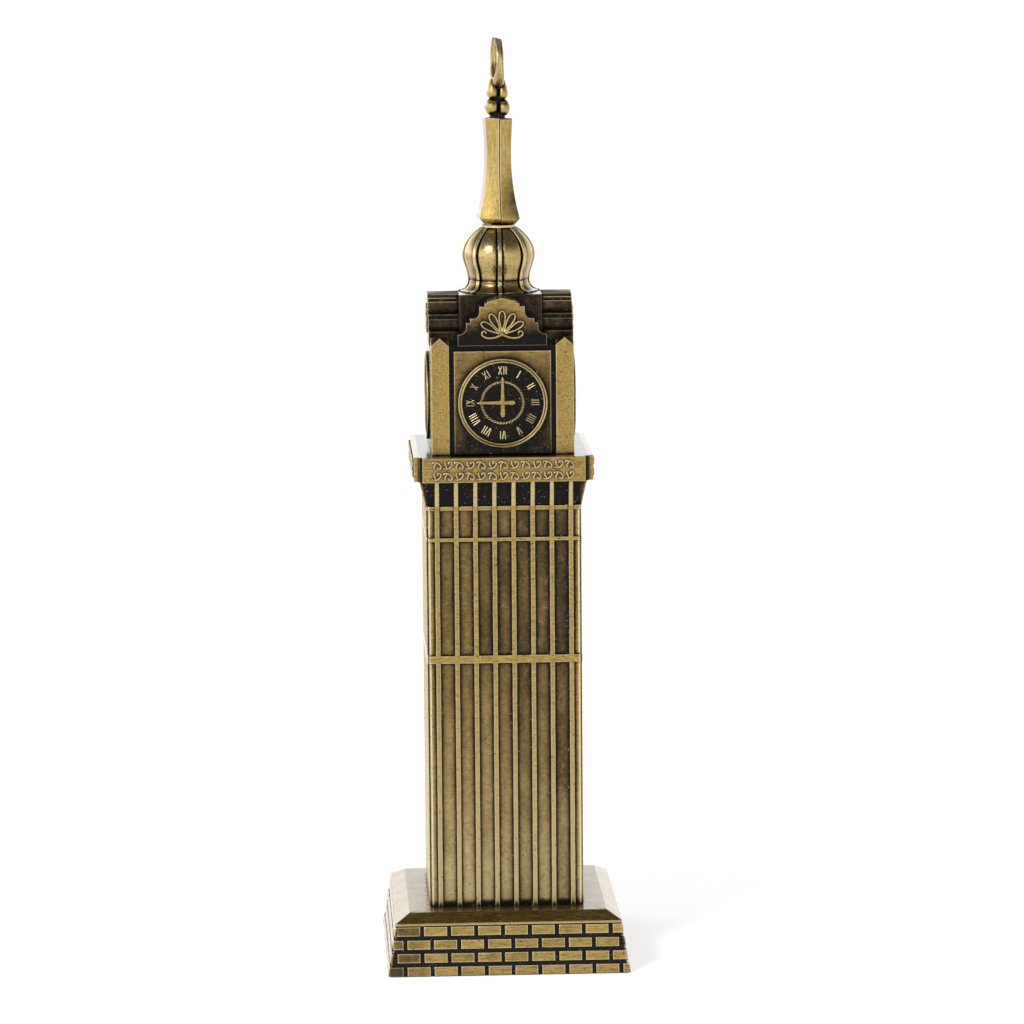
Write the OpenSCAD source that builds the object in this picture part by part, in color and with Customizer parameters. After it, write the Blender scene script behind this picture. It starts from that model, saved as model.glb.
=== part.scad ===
// Cast-metal clock-tower figurine, built up from hollow castings on one tie rod.
// Origin: centre of the foot, on the surface it stands on. +Z is up, -Y is the front.

/* [Base] */
// Side of the square foot, over the bricks
foot_w = 47.3; // [46:0.1:56]
// Side of the base at the top of the brick wall
wall_top_w = 43.9; // [43:0.1:45.5]
// Side of the deck inside the bevel
deck_w = 38.3; // [36:0.1:41]
// Height of the brick wall, up to the bevel
wall_h = 10.25; // [9.5:0.05:11]
// Height of the base, up to its deck
deck_z = 11.85; // [11.3:0.05:13]
// How far the bricks stand out of the mortar
brick_out = 0.45; // [0.2:0.05:0.6]
// Spacing of the bricks along a course
brick_pitch = 5.23; // [4.5:0.01:6]
// Width of the joints between bricks
joint_w = 0.75; // [0.5:0.05:1]

/* [Shaft] */
// Side of the square shaft, over its ribs
shaft_w = 30.1; // [29:0.1:31]
// Spacing of the eight ribs on each face
rib_pitch = 3.69; // [3.5:0.01:3.8]
// Width of one rib
rib_w = 1; // [0.6:0.1:1.6]
// How far the ribs stand out of the panel
rib_out = 0.4; // [0.3:0.05:0.6]
// Side of the shaft over the ribs' brackets, under the cornice
bracket_w = 32.6; // [31.2:0.1:32.6]
// Height at which the ribs start to lean out into brackets
bracket_z = 90.4; // [86:0.1:91]

/* [Cornice] */
// Height of the cornice's underside
cornice_z = 95.75; // [94:0.05:96.5]
// Height of the cornice's top
cornice_top_z = 100.6; // [99:0.05:101.5]
// Side of the slab between its face plates
slab_w = 32.7; // [32.7:0.1:34]
// Side of the cornice over its face plates
cornice_w = 34.6; // [34.4:0.1:36]

/* [Clock head] */
// Side of the clock head over its corner posts
head_w = 27.5; // [26.5:0.1:28.5]
// Width of a corner post
post_w = 3.5; // [3:0.1:4]
// Height of the posts' shoulders and of the case's top
head_top_z = 121.8; // [121:0.1:122.5]
// Height of the points on the posts
post_tip_z = 123.3; // [122.8:0.1:124]
// Width of a dial panel
dial_panel_w = 18.7; // [18:0.1:19]
// Radius of the dial's outer ring
dial_r = 8.65; // [8:0.05:8.9]

/* [Roof] */
// Width of a gable across its foot
gable_w = 17.1; // [16.5:0.1:18]
// Distance from one gable's face to the opposite one
gable_span = 28; // [27:0.1:28.4]
// Side of the square block under the dome
block_w = 16; // [15.4:0.1:16.4]
// Height of the gables and the block
roof_top_z = 131; // [130:0.1:132]

/* [Dome and spire] */
// Radius of the dome's spreading foot
dome_foot_r = 7.65; // [7.2:0.05:7.8]
// Radius of the dome where it bulges most
dome_r = 6.8; // [6.2:0.05:7.2]
// Height of the dome's top and the spire's foot
dome_top_z = 144; // [143.5:0.1:145]
// Width of the spire where it spreads at its foot
spire_foot_w = 7.85; // [7:0.05:8.5]
// Width of the spire where it is slimmest
spire_neck_w = 4.8; // [4.2:0.05:5.4]
// Height of the spire's top and the first ball's foot
spire_top_z = 164.9; // [163.5:0.1:165.5]
// Height of the whole figurine
total_h = 180; // [178:0.5:184]
// Turn of the spire and its crescent, as fitted by hand
spire_turn = 6; // [0:1:20]
// How much higher the spire's left half sits than its right half
half_slip = 0.2; // [0:0.05:0.3]

/* [Hidden] */
$fn = 64;

brass = "#8a7440";
dark_brass = "#5d4d2c";
steel = "#b8bcc0";
felt = "#23362c";

// Base
groove_h = 0.15;
groove_in = 0.3;
fascia_h = 0.45;
groove_z = wall_h - fascia_h - groove_h;
courses = 4;
first_brick_z = 0.2;
course_h = (groove_z - first_brick_z + joint_w) / courses;
brick_h = course_h - joint_w;
brick_in = 1.2;
bond_shift = [3.38, 1.45];
bricks_each_side = 5;
batter = atan((foot_w - wall_top_w) / 2 / wall_h);
pad_h = 0.8;
pad_w = 41.2;
pad_gap = 0.2;
base_cavity_w = 38.6;
deck_t = 1.9;

// Shaft
ribs = 8;
panel_t = 2.4;
panel_floor = shaft_w / 2 - rib_out;
panel_back = shaft_w / 2 - panel_t;
band_h = 0.85;
low_band_h = 1.65;
upper_band_z = 83.9;
low_band_z = 60;
ledge_in = 0.15;
head_sunk = 0.5;

// Cornice
plate_chamfer = 0.8;
spigot_gap = 0.2;
spigot_h = 2;
slab_pocket_w = 19;
slab_pocket_h = 3;

// Clock head
case_w = 24.8;
case_cavity_w = 21.8;
case_wall = 1.5;
panel_foot_gap = 0.2;
panel_top_gap = 1.05;
dial_panel_face = 13.85;
dial_panel_t = dial_panel_face - case_w / 2;
dial_z = 110.7;
dial_sunk = 0.55;
ring_w = 0.85;
inner_ring_r = 4.3;
inner_ring_w = 0.6;
ring_out = 0.6;
relief = 0.35;
hours = 12;
mark_in_r = 5.5;
mark_out_r = 7.05;
mark_w = 0.9;
hand_tail = 2.2;
hand_length = 5;
hand_w = 1.1;
hand_tip_w = 0.5;

// Roof
gable_foot_z = head_top_z;
gable_h = roof_top_z - gable_foot_z;
gable_half = gable_w / 2;
scallop_steps = 6;
// Corners of a gable, each as [share of its half width, share of its height]
foot_corner = [1, 0.235];
shoulder_corner = [0.81, 0.36];
step_corner = [0.72, 0.48];
scallop_corner = [0.63, 0.57];
neck_corner = [0.51, 0.71];
crown_corner = [0.39, 0.82];
brow_centre = [0.2, 0.89];
brow_size = [0.14, 0.06];
roof_cavity_w = 12;
roof_cavity_h = 6;
boss_r = 3.2;

// Dome
waist_r = 5.75;
waist_z = 133.3;
belly_z = 138;
collar_r = 3.2;
collar_h = 0.6;
dome_ribs = 8;
dome_rib_w = 0.8;
dome_rib_out = 0.3;
dome_steps = 10;
dome_foot_steps = 5;
dome_foot_h = 0.3;
dome_cavity_r = 3.8;
dome_cavity_h = 8;

// Spire
spire_top_w = 5.35;
spire_foot_z = 144.3;
spire_wide_z = 145.35;
spire_neck_z = 157.3;
spire_lip_z = 164.5;
spire_lip_in = 0.5;
spire_under_share = 0.4;
spire_rim_share = 0.41;
spire_face_w = 3.5;
spire_face_swell = 0.3;
spire_steps = 8;
peg_r = 1.3;
peg_gap = 0.05;
peg_h = 2;
ball_r = 2.45;
ball_h = 3.2;
ball_wide = 0.5;
ball_lap = 0.1;
ball_steps = 6;
drop_r = 2.1;
drop_h = 3.3;
drop_wide = 0.35;
drop_lap = 0.3;
crescent_r = 4.9;
crescent_foot_t = 2.6;
crescent_tip_t = 1.2;
horn_r = 4.05;
horn_lift = 0.9;
horn_tip = (crescent_r * crescent_r - horn_r * horn_r + horn_lift * horn_lift) / (2 * horn_lift);

// Tie rod and its nut
rod_r = 1.5;
rod_clear_r = 1.7;
tapped_r = 1.55;
rod_foot_z = 5.2;
rod_head_z = 127;
washer_r = 4.5;
washer_h = 0.8;
nut_af = 5.5;
nut_h = 2.4;

far = 100;
over = 1;

// A block of width w on centre in X and Y, from height z0 to z1.
module square_post(w, z0, z1) {
    translate([-w / 2, -w / 2, z0])
        cube([w, w, z1 - z0]);
}

// The solid whose outline is the same seen from the front and from the side.
module square_on_plan(outline, width) {
    intersection() {
        rotate([90, 0, 0])
            linear_extrude(width, center = true)
                polygon(outline);
        rotate([90, 0, 90])
            linear_extrude(width, center = true)
                polygon(outline);
    }
}

// Mirrors a half outline, given as [half width, height] from the foot up, into a closed one.
function both_sides(half) = concat(
    half,
    [for (i = [len(half) - 1 : -1 : 0]) [-half[i][0], half[i][1]]]
);

// Points on a quarter of an ellipse from angle a0 to a1 round a centre.
function arc(centre, rx, ry, a0, a1, steps) = [
    for (i = [0 : steps])
        let (a = a0 + (a1 - a0) * i / steps)
            [centre[0] + rx * cos(a), centre[1] + ry * sin(a)]
];

// A slice of the plan that reaches from the axis to one face, with mitred sides.
module face_sector() {
    linear_extrude(2 * far, center = true)
        polygon([[0, 0], [-far, -far], [far, -far]]);
}

module rod_hole(z0, z1, r = rod_clear_r) {
    translate([0, 0, z0])
        cylinder(r = r, h = z1 - z0);
}

// Half outline of the base: mortar plane, groove, fascia, bevel and deck.
function base_half() = let (
    low = foot_w / 2 - brick_out,
    high = wall_top_w / 2 - brick_out
) [
    [low, 0],
    [low + (high - low) * groove_z / wall_h, groove_z],
    [wall_top_w / 2 - groove_in - brick_out, groove_z],
    [wall_top_w / 2 - groove_in - brick_out, groove_z + groove_h],
    [wall_top_w / 2, groove_z + groove_h],
    [wall_top_w / 2, wall_h],
    [deck_w / 2, deck_z]
];

// One face's bricks, in running bond, cut off at the corners.
module face_bricks() {
    brick_l = brick_pitch - joint_w;
    for (course = [0 : courses - 1]) {
        z = first_brick_z + course * course_h;
        reach = foot_w / 2 - tan(batter) * (z + brick_h);
        for (i = [-bricks_each_side : bricks_each_side]) {
            centre = bond_shift[course % 2] + i * brick_pitch;
            left = max(centre - brick_l / 2, -reach);
            right = min(centre + brick_l / 2, reach);
            if (right - left > joint_w)
                translate([left, -foot_w / 2 + tan(batter) * z, z])
                    rotate([-batter, 0, 0])
                        cube([right - left, brick_in, brick_h]);
        }
    }
}

module base_plinth() {
    color(brass)
        difference() {
            union() {
                square_on_plan(both_sides(base_half()), foot_w);
                for (face = [0 : 3])
                    rotate([0, 0, 90 * face])
                        face_bricks();
            }
            square_post(pad_w + pad_gap, -over, pad_h);
            square_post(base_cavity_w, -over, deck_z - deck_t);
            rod_hole(0, deck_z + over);
        }
}

// Outline of a rib's top seen from the side: it leans out into a bracket.
function bracket_outline() = [
    [panel_back, bracket_z],
    [shaft_w / 2, bracket_z],
    [bracket_w / 2, cornice_z],
    [panel_back, cornice_z]
];

// A bar of width w along X whose outline is given as [distance out from the axis, height].
module face_bar(outline, w) {
    rotate([90, 0, -90])
        linear_extrude(w, center = true)
            polygon(outline);
}

// A slab on the front face, as wide as the shaft, from its back to "out" in front of the panel.
module face_slab(z0, z1, out) {
    translate([-shaft_w / 2, -panel_floor - out, z0])
        cube([shaft_w, panel_floor + out - panel_back, z1 - z0]);
}

module shaft_panel() {
    color(brass)
        intersection() {
            union() {
                face_slab(deck_z, bracket_z, 0);
                face_slab(bracket_z, cornice_z, -head_sunk);
                face_slab(low_band_z, low_band_z + low_band_h, rib_out);
                face_slab(upper_band_z, upper_band_z + band_h, rib_out);
                face_slab(bracket_z - band_h / 2, bracket_z + band_h / 2, rib_out - ledge_in);
                for (i = [0 : ribs - 1])
                    translate([(i - (ribs - 1) / 2) * rib_pitch, 0, 0]) {
                        translate([-rib_w / 2, -shaft_w / 2, deck_z])
                            cube([rib_w, shaft_w / 2 - panel_back, bracket_z - deck_z]);
                        face_bar(bracket_outline(), rib_w);
                    }
            }
            face_sector();
        }
}

module shaft_panel_front() {
    shaft_panel();
}

module shaft_panel_right() {
    rotate([0, 0, 90])
        shaft_panel();
}

module shaft_panel_back() {
    rotate([0, 0, 180])
        shaft_panel();
}

module shaft_panel_left() {
    rotate([0, 0, 270])
        shaft_panel();
}

module cornice_slab() {
    plate_out = (cornice_w - slab_w) / 2;
    color(brass)
        difference() {
            union() {
                square_post(slab_w, cornice_z, cornice_top_z);
                square_post(2 * panel_back - spigot_gap, cornice_z - spigot_h, cornice_z);
                for (face = [0 : 3])
                    rotate([0, 0, 90 * face])
                        translate([0, 0, cornice_z])
                            linear_extrude(cornice_top_z - cornice_z)
                                polygon([
                                    [-slab_w / 2, -slab_w / 2],
                                    [plate_chamfer - slab_w / 2, -slab_w / 2 - plate_out],
                                    [slab_w / 2 - plate_chamfer, -slab_w / 2 - plate_out],
                                    [slab_w / 2, -slab_w / 2]
                                ]);
            }
            square_post(slab_pocket_w, cornice_top_z - slab_pocket_h, cornice_top_z + over);
            rod_hole(cornice_z - spigot_h - over, cornice_top_z);
        }
}

// A post ends in a pointed board on each of its faces: two roofs that cross.
module corner_post() {
    outline = [
        [-post_w / 2, cornice_top_z],
        [post_w / 2, cornice_top_z],
        [post_w / 2, head_top_z],
        [0, post_tip_z],
        [-post_w / 2, head_top_z]
    ];
    translate([(head_w - post_w) / 2, (head_w - post_w) / 2, 0])
        for (turn = [0, 90])
            rotate([90, 0, turn])
                linear_extrude(post_w, center = true)
                    polygon(outline);
}

module clock_case() {
    color(brass)
        difference() {
            union() {
                square_post(case_w, cornice_top_z, head_top_z);
                for (corner = [0 : 3])
                    rotate([0, 0, 90 * corner])
                        corner_post();
            }
            square_post(case_cavity_w, cornice_top_z - over, head_top_z - case_wall);
            rod_hole(cornice_top_z, head_top_z + over);
        }
}

module ring(r, w, depth) {
    difference() {
        cylinder(r = r, h = depth);
        translate([0, 0, -depth])
            cylinder(r = r - w, h = 3 * depth);
    }
}

// A tapering hand along +Y with a round tail.
module hand() {
    linear_extrude(dial_sunk)
        union() {
            polygon([
                [-hand_w / 2, -hand_tail],
                [hand_w / 2, -hand_tail],
                [hand_tip_w / 2, hand_length],
                [-hand_tip_w / 2, hand_length]
            ]);
            translate([0, -hand_tail])
                circle(r = hand_w / 2, $fn = 24);
        }
}

// The dial's relief, drawn flat with its floor at height 0.
module dial_relief() {
    ring(inner_ring_r, inner_ring_w, relief);
    for (hour = [0 : hours - 1])
        rotate([0, 0, hour * 360 / hours])
            translate([-mark_w / 2, mark_in_r, 0])
                cube([mark_w, mark_out_r - mark_in_r, relief]);
    for (turn = [0, 90])
        rotate([0, 0, turn])
            hand();
}

module dial_panel() {
    foot_z = cornice_top_z + panel_foot_gap;
    top_z = head_top_z - panel_top_gap;
    color(dark_brass)
        union() {
            difference() {
                union() {
                    translate([-dial_panel_w / 2, -dial_panel_face, foot_z])
                        cube([dial_panel_w, dial_panel_t, top_z - foot_z]);
                    translate([0, -dial_panel_face, dial_z])
                        rotate([90, 0, 0])
                            cylinder(r = dial_r, h = ring_out);
                }
                translate([0, dial_sunk - dial_panel_face, dial_z])
                    rotate([90, 0, 0])
                        cylinder(r = dial_r - ring_w, h = dial_sunk + 2 * ring_out);
            }
            translate([0, dial_sunk - dial_panel_face, dial_z])
                rotate([90, 0, 0])
                    dial_relief();
        }
}

module dial_panel_front() {
    dial_panel();
}

module dial_panel_right() {
    rotate([0, 0, 90])
        dial_panel();
}

module dial_panel_back() {
    rotate([0, 0, 180])
        dial_panel();
}

module dial_panel_left() {
    rotate([0, 0, 270])
        dial_panel();
}

function gable_point(share) = [share[0] * gable_half, share[1] * gable_h];

// Half outline of a gable over its foot: shoulder, two square steps, a scallop and a low crown.
function gable_half_outline() = let (
    foot = gable_point(foot_corner),
    shoulder = gable_point(shoulder_corner),
    step = gable_point(step_corner),
    scallop = gable_point(scallop_corner),
    neck = gable_point(neck_corner),
    crown = gable_point(crown_corner),
    brow = gable_point(brow_centre),
    bulge = gable_point(brow_size)
) concat(
    [[gable_half, 0], foot],
    arc([foot[0], shoulder[1]], foot[0] - shoulder[0], shoulder[1] - foot[1], 270, 180, scallop_steps),
    [[shoulder[0], step[1]], step, [step[0], scallop[1]], scallop],
    arc([scallop[0], neck[1]], scallop[0] - neck[0], neck[1] - scallop[1], 270, 180, scallop_steps),
    [[neck[0], crown[1]], crown, [crown[0], brow[1]]],
    arc(brow, bulge[0], bulge[1], 0, 90, scallop_steps),
    [[0, gable_h]]
);

module gable_bar() {
    translate([0, 0, gable_foot_z])
        rotate([90, 0, 0])
            linear_extrude(gable_span, center = true)
                polygon(both_sides(gable_half_outline()));
}

module roof_block() {
    color(brass)
        difference() {
            union() {
                gable_bar();
                rotate([0, 0, 90])
                    gable_bar();
                square_post(block_w, gable_foot_z, roof_top_z);
            }
            difference() {
                square_post(roof_cavity_w, gable_foot_z - over, gable_foot_z + roof_cavity_h);
                cylinder(r = boss_r, h = roof_top_z);
            }
            rod_hole(gable_foot_z - over, rod_head_z + over, tapped_r);
        }
}

// Half outline of the dome, lifted out by "out": spreading foot, waist, belly and collar.
function dome_half(out) = concat(
    [[dome_foot_r + out / 2, roof_top_z]],
    arc(
        [dome_foot_r + out, waist_z], dome_foot_r - waist_r,
        waist_z - roof_top_z - dome_foot_h, 270, 180, dome_foot_steps
    ),
    [
        for (i = [1 : dome_steps])
            let (t = i / dome_steps)
                [waist_r + out + (dome_r - waist_r) * sin(90 * t), waist_z + (belly_z - waist_z) * t]
    ],
    [
        for (i = [1 : dome_steps])
            let (t = i / dome_steps, top = dome_top_z - collar_h)
                [
                    collar_r + (dome_r - collar_r + out) * sqrt(1 - t * t),
                    belly_z + (top - belly_z) * t
                ]
    ],
    [[collar_r, dome_top_z]]
);

module dome() {
    color(brass)
        difference() {
            union() {
                rotate_extrude($fn = 96)
                    polygon(concat([[0, roof_top_z]], dome_half(0), [[0, dome_top_z]]));
                for (i = [0 : dome_ribs / 2 - 1])
                    rotate([90, 0, i * 360 / dome_ribs])
                        linear_extrude(dome_rib_w, center = true)
                            polygon(both_sides(dome_half(dome_rib_out)));
            }
            translate([0, 0, roof_top_z - over])
                cylinder(r = dome_cavity_r, h = dome_cavity_h + over);
            translate([0, 0, dome_top_z - peg_h])
                cylinder(r = peg_r + peg_gap, h = peg_h + over);
        }
}

// Half outline of the spire: rounded foot, hollow taper to a neck and a slight flare to a lip.
function spire_half() = concat(
    [
        [spire_foot_w * spire_under_share, dome_top_z + half_slip],
        [spire_foot_w * spire_rim_share, spire_foot_z + half_slip]
    ],
    [
        for (i = [0 : spire_steps])
            let (t = i / spire_steps)
                [
                    (spire_neck_w + (spire_foot_w - spire_neck_w) * (1 - t) * (1 - t)) / 2,
                    spire_wide_z + (spire_neck_z - spire_wide_z) * t
                ]
    ],
    [
        for (i = [1 : spire_steps])
            let (t = i / spire_steps)
                [
                    (spire_neck_w + (spire_top_w - spire_neck_w) * t * t) / 2,
                    spire_neck_z + (spire_lip_z - spire_neck_z) * t
                ]
    ],
    [[spire_top_w / 2 - spire_lip_in, spire_top_z]]
);

// The outline of the planes that take the spire's corners off, seen along a diagonal.
function corner_planes(half) = [
    for (p = half)
        let (face = (spire_face_w + spire_face_swell * (2 * p[0] - spire_neck_w)) / 2)
            [(p[0] + min(face, p[0])) / sqrt(2), p[1]]
];

// Half outline of a ball of radius r from height z0 to z0 + h, widest at "wide" of its height.
function ball_half(r, z0, h, wide) = concat(
    arc([0, z0 + h * wide], r, h * wide, -90, 0, ball_steps),
    arc([0, z0 + h * wide], r, h * (1 - wide), 90 / ball_steps, 90, ball_steps - 1)
);

// The crescent stands in the seam's plane and thins towards its horns.
module crescent() {
    low = -crescent_r;
    translate([0, 0, total_h - horn_tip])
        intersection() {
            rotate([0, 90, 0])
                difference() {
                    cylinder(r = crescent_r, h = crescent_foot_t, center = true);
                    translate([-horn_lift, 0, 0])
                        cylinder(r = horn_r, h = 2 * crescent_foot_t, center = true);
                }
            rotate([90, 0, 0])
                linear_extrude(4 * crescent_r, center = true)
                    polygon([
                        [-crescent_foot_t / 2, low],
                        [crescent_foot_t / 2, low],
                        [crescent_tip_t / 2, horn_tip],
                        [-crescent_tip_t / 2, horn_tip]
                    ]);
        }
}

module spire_whole() {
    intersection() {
        square_on_plan(both_sides(spire_half()), spire_foot_w);
        rotate([0, 0, 45])
            square_on_plan(both_sides(corner_planes(spire_half())), 2 * spire_foot_w);
    }
    translate([0, 0, dome_top_z - peg_h + half_slip])
        cylinder(r = peg_r, h = peg_h + over);
    rotate_extrude()
        polygon(ball_half(ball_r, spire_top_z - ball_lap, ball_h, ball_wide));
    rotate_extrude()
        polygon(ball_half(drop_r, spire_top_z + ball_h - drop_lap, drop_h, drop_wide));
    crescent();
}

// The half of the spire on one side of the seam: -1 is the left half, 1 the right half.
module spire_part(side) {
    rotate([0, 0, spire_turn])
        intersection() {
            spire_whole();
            translate([side * far / 2, 0, far])
                cube([far, far, 2 * far], center = true);
        }
}

module spire_left_half() {
    color(brass)
        spire_part(-1);
}

module spire_right_half() {
    color(brass)
        translate([0, 0, -half_slip])
            spire_part(1);
}

module tie_rod() {
    color(steel)
        translate([0, 0, rod_foot_z])
            cylinder(r = rod_r, h = rod_head_z - rod_foot_z);
}

module rod_washer() {
    color(steel)
        translate([0, 0, deck_z - deck_t - washer_h])
            ring(washer_r, washer_r - rod_clear_r, washer_h);
}

module rod_nut() {
    color(steel)
        translate([0, 0, deck_z - deck_t - washer_h - nut_h])
            difference() {
                cylinder(r = nut_af / 2 / cos(30), h = nut_h, $fn = 6);
                translate([0, 0, -over])
                    cylinder(r = tapped_r, h = nut_h + 2 * over);
            }
}

module felt_pad() {
    color(felt)
        square_post(pad_w, 0, pad_h);
}

base_plinth();
shaft_panel_front();
shaft_panel_back();
shaft_panel_left();
shaft_panel_right();
cornice_slab();
clock_case();
dial_panel_front();
dial_panel_back();
dial_panel_left();
dial_panel_right();
roof_block();
dome();
spire_left_half();
spire_right_half();
tie_rod();
rod_washer();
rod_nut();
felt_pad();
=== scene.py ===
"""Looks of a cast clock-tower figurine in antique brass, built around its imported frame.

Every piece is made in millimetres in the frame's own axes (+Z up, -Y the front) and turned to metres
when its mesh is written.
"""

import logging
import math
import random
from collections.abc import Callable, Sequence
from dataclasses import dataclass, field
from enum import Enum

import bmesh
import bpy
from mathutils import Matrix, Vector, noise
from mathutils.bvhtree import BVHTree
from mathutils.interpolate import poly_3d_calc


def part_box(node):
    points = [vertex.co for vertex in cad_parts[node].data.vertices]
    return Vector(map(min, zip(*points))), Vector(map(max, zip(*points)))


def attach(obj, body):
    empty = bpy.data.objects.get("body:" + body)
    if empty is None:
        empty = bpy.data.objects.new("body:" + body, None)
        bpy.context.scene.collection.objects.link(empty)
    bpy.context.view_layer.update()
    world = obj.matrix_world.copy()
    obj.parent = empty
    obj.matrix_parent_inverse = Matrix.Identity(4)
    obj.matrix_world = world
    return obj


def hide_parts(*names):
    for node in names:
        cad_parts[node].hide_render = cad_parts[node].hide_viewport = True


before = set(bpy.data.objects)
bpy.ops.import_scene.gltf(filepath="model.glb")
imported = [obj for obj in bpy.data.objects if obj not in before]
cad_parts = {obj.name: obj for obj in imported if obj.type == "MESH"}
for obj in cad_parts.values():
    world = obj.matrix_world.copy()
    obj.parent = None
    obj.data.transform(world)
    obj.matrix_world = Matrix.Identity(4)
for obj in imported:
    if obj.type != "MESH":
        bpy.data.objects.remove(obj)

logging.basicConfig(level=logging.INFO, format="%(message)s")
log = logging.getLogger("figurine")

MM = 0.001
BODY = "root"
# The per-point layer that the material reads: patina, plus painted shade on the shaft and spire and painted
# highlights and reflections on the shaft's ribs.
PATINA_AND_PAINTED_LIGHT = "patina"
SHARP_ANGLE = math.radians(38)
# Segments round each corner of a square ring.
CORNER_STEPS = 7
# How far the foot of a relief goes into its ground, so that the two fuse.
SUNK = 0.12

Ring = list[Vector]
# What may feed a node's input: a socket, a number or a colour.
Feed = bpy.types.NodeSocket | float | tuple[float, ...]


# ---------------------------------------------------------------- directions and frame sizes


class Face(Enum):
    """The tower's four faces, each with its number of quarter turns from the front."""

    FRONT = 0
    RIGHT = 1
    BACK = 2
    LEFT = 3

    @property
    def label(self) -> str:
        """The face's name as the frame's nodes spell it."""
        return self.name.lower()

    @property
    def turn(self) -> Matrix:
        """The rotation that carries the front face to this one."""
        return Matrix.Rotation(math.radians(90 * self.value), 4, "Z")


class Brushing(Enum):
    """The way a face was brushed: how fast its grain varies along X, Y and Z."""

    LEVEL = (0.12, 0.12, 1.0)
    UPRIGHT = (1.0, 1.0, 0.08)
    POLISHED = (0.6, 0.6, 0.6)


@dataclass(frozen=True)
class Box:
    """A node's box in millimetres."""

    low: Vector
    high: Vector

    @classmethod
    def of(cls, node: str) -> "Box":
        """Reads a node's box from the frame.

        Args:
            node: the node's name.

        Returns:
            The box in millimetres.
        """
        low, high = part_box(node)
        return cls(Vector(low) / MM, Vector(high) / MM)


# ---------------------------------------------------------------- mesh tools


def square_ring(half: float, corner: float, z: float) -> Ring:
    """A square with rounded corners, seen from above.

    Args:
        half: half the square's side.
        corner: radius of its corners.
        z: height of the ring.

    Returns:
        The ring's points, anticlockwise.
    """
    points = []
    round_hole = corner >= half
    for quarter in range(4):
        middle = math.radians(90 * quarter + 45)
        centre = Vector((math.cos(middle), math.sin(middle), 0)) * math.sqrt(2) * (half - corner)
        for step in range(CORNER_STEPS + 1):
            share = (step + 0.5) / (CORNER_STEPS + 1) if round_hole else step / CORNER_STEPS
            angle = math.radians(90 * (quarter + share))
            points.append(centre + Vector((math.cos(angle) * corner, math.sin(angle) * corner, z)))
    return points


def loft(
    rings: Sequence[Ring],
    patina: Sequence[float | Sequence[float]] | float = 0.0,
    looped: bool = False,
    bevel: float = 0.0,
    segments: int = 2,
) -> bmesh.types.BMesh:
    """Skins rings of equal length into one closed shell.

    Args:
        rings: the rings, in order.
        patina: how tarnished the points start, for the whole shell, each ring or each point; painted shade
            and highlights ride on it too.
        looped: whether the last ring joins the first instead of both being capped.
        bevel: width of the rounding on the sharp edges.
        segments: segments of that rounding.

    Returns:
        The shell, with its normals outwards.
    """
    shell = bmesh.new()
    layer = shell.verts.layers.float.new(PATINA_AND_PAINTED_LIGHT)
    tones = [patina] * len(rings) if isinstance(patina, (int, float)) else list(patina)
    rows = []
    for ring, tone in zip(rings, tones):
        row = [shell.verts.new(point) for point in ring]
        for i, vert in enumerate(row):
            vert[layer] = tone if isinstance(tone, (int, float)) else tone[i]
        rows.append(row)
    count = len(rows[0])
    pairs = list(zip(rows, rows[1:])) + ([(rows[-1], rows[0])] if looped else [])
    for below, above in pairs:
        for i in range(count):
            j = (i + 1) % count
            shell.faces.new((below[i], below[j], above[j], above[i]))
    if not looped:
        shell.faces.new(rows[0])
        shell.faces.new(rows[-1])
    bmesh.ops.recalc_face_normals(shell, faces=shell.faces)
    if bevel:
        round_edges(shell, bevel, segments)
    return shell


def shade(shell: bmesh.types.BMesh, tone: Callable[[Vector], float]) -> bmesh.types.BMesh:
    """Adds to a shell's patina by place.

    Args:
        shell: the shell to change.
        tone: gives what is added at a point.

    Returns:
        The same shell.
    """
    layer = shell.verts.layers.float[PATINA_AND_PAINTED_LIGHT]
    for vert in shell.verts:
        vert[layer] += tone(vert.co)
    return shell


def round_edges(shell: bmesh.types.BMesh, width: float, segments: int = 2, least_angle: float = 28.0) -> None:
    """Rounds a shell's sharp edges.

    Args:
        shell: the shell to change.
        width: width of the rounding.
        segments: segments of the rounding.
        least_angle: the angle in degrees from which an edge is rounded.
    """
    bevel_edges(shell, width, segments, least_angle)
    bmesh.ops.remove_doubles(shell, verts=shell.verts, dist=0.002)


def bevel_edges(shell: bmesh.types.BMesh, width: float, segments: int, least_angle: float) -> None:
    """Bevels a shell's sharp edges and keeps every point that comes of it.

    Args:
        shell: the shell to change.
        width: width of the bevel.
        segments: segments of the bevel.
        least_angle: the angle in degrees from which an edge is bevelled.
    """
    limit = math.radians(least_angle)
    edges = [edge for edge in shell.edges if edge.calc_face_angle(0) > limit]
    bmesh.ops.bevel(shell, geom=edges, offset=width, segments=segments, profile=0.5, affect="EDGES",
                    clamp_overlap=True)


def block(low: Sequence[float], high: Sequence[float], bevel: float) -> bmesh.types.BMesh:
    """A block with rounded edges.

    Args:
        low: its lowest corner.
        high: its highest corner.
        bevel: width of the rounding.

    Returns:
        The shell.
    """
    corners = [(low[0], low[1]), (high[0], low[1]), (high[0], high[1]), (low[0], high[1])]
    rings = [[Vector((x, y, z)) for x, y in corners] for z in (low[2], high[2])]
    return loft(rings, bevel=bevel)


def inset(outline: Sequence[tuple[float, float]], width: float) -> list[tuple[float, float]]:
    """Draws a closed anticlockwise outline in by a width.

    Args:
        outline: its points.
        width: how far each side moves in.

    Returns:
        The new points.
    """
    moved = []
    count = len(outline)
    for i in range(count):
        spot = Vector(outline[i])
        before = (spot - Vector(outline[i - 1])).normalized()
        after = (Vector(outline[(i + 1) % count]) - spot).normalized()
        normal = Vector((-before.y - after.y, before.x + after.x))
        share = normal.length_squared / 2
        moved.append(tuple(spot + normal * width / max(share, 0.6)))
    return moved


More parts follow.
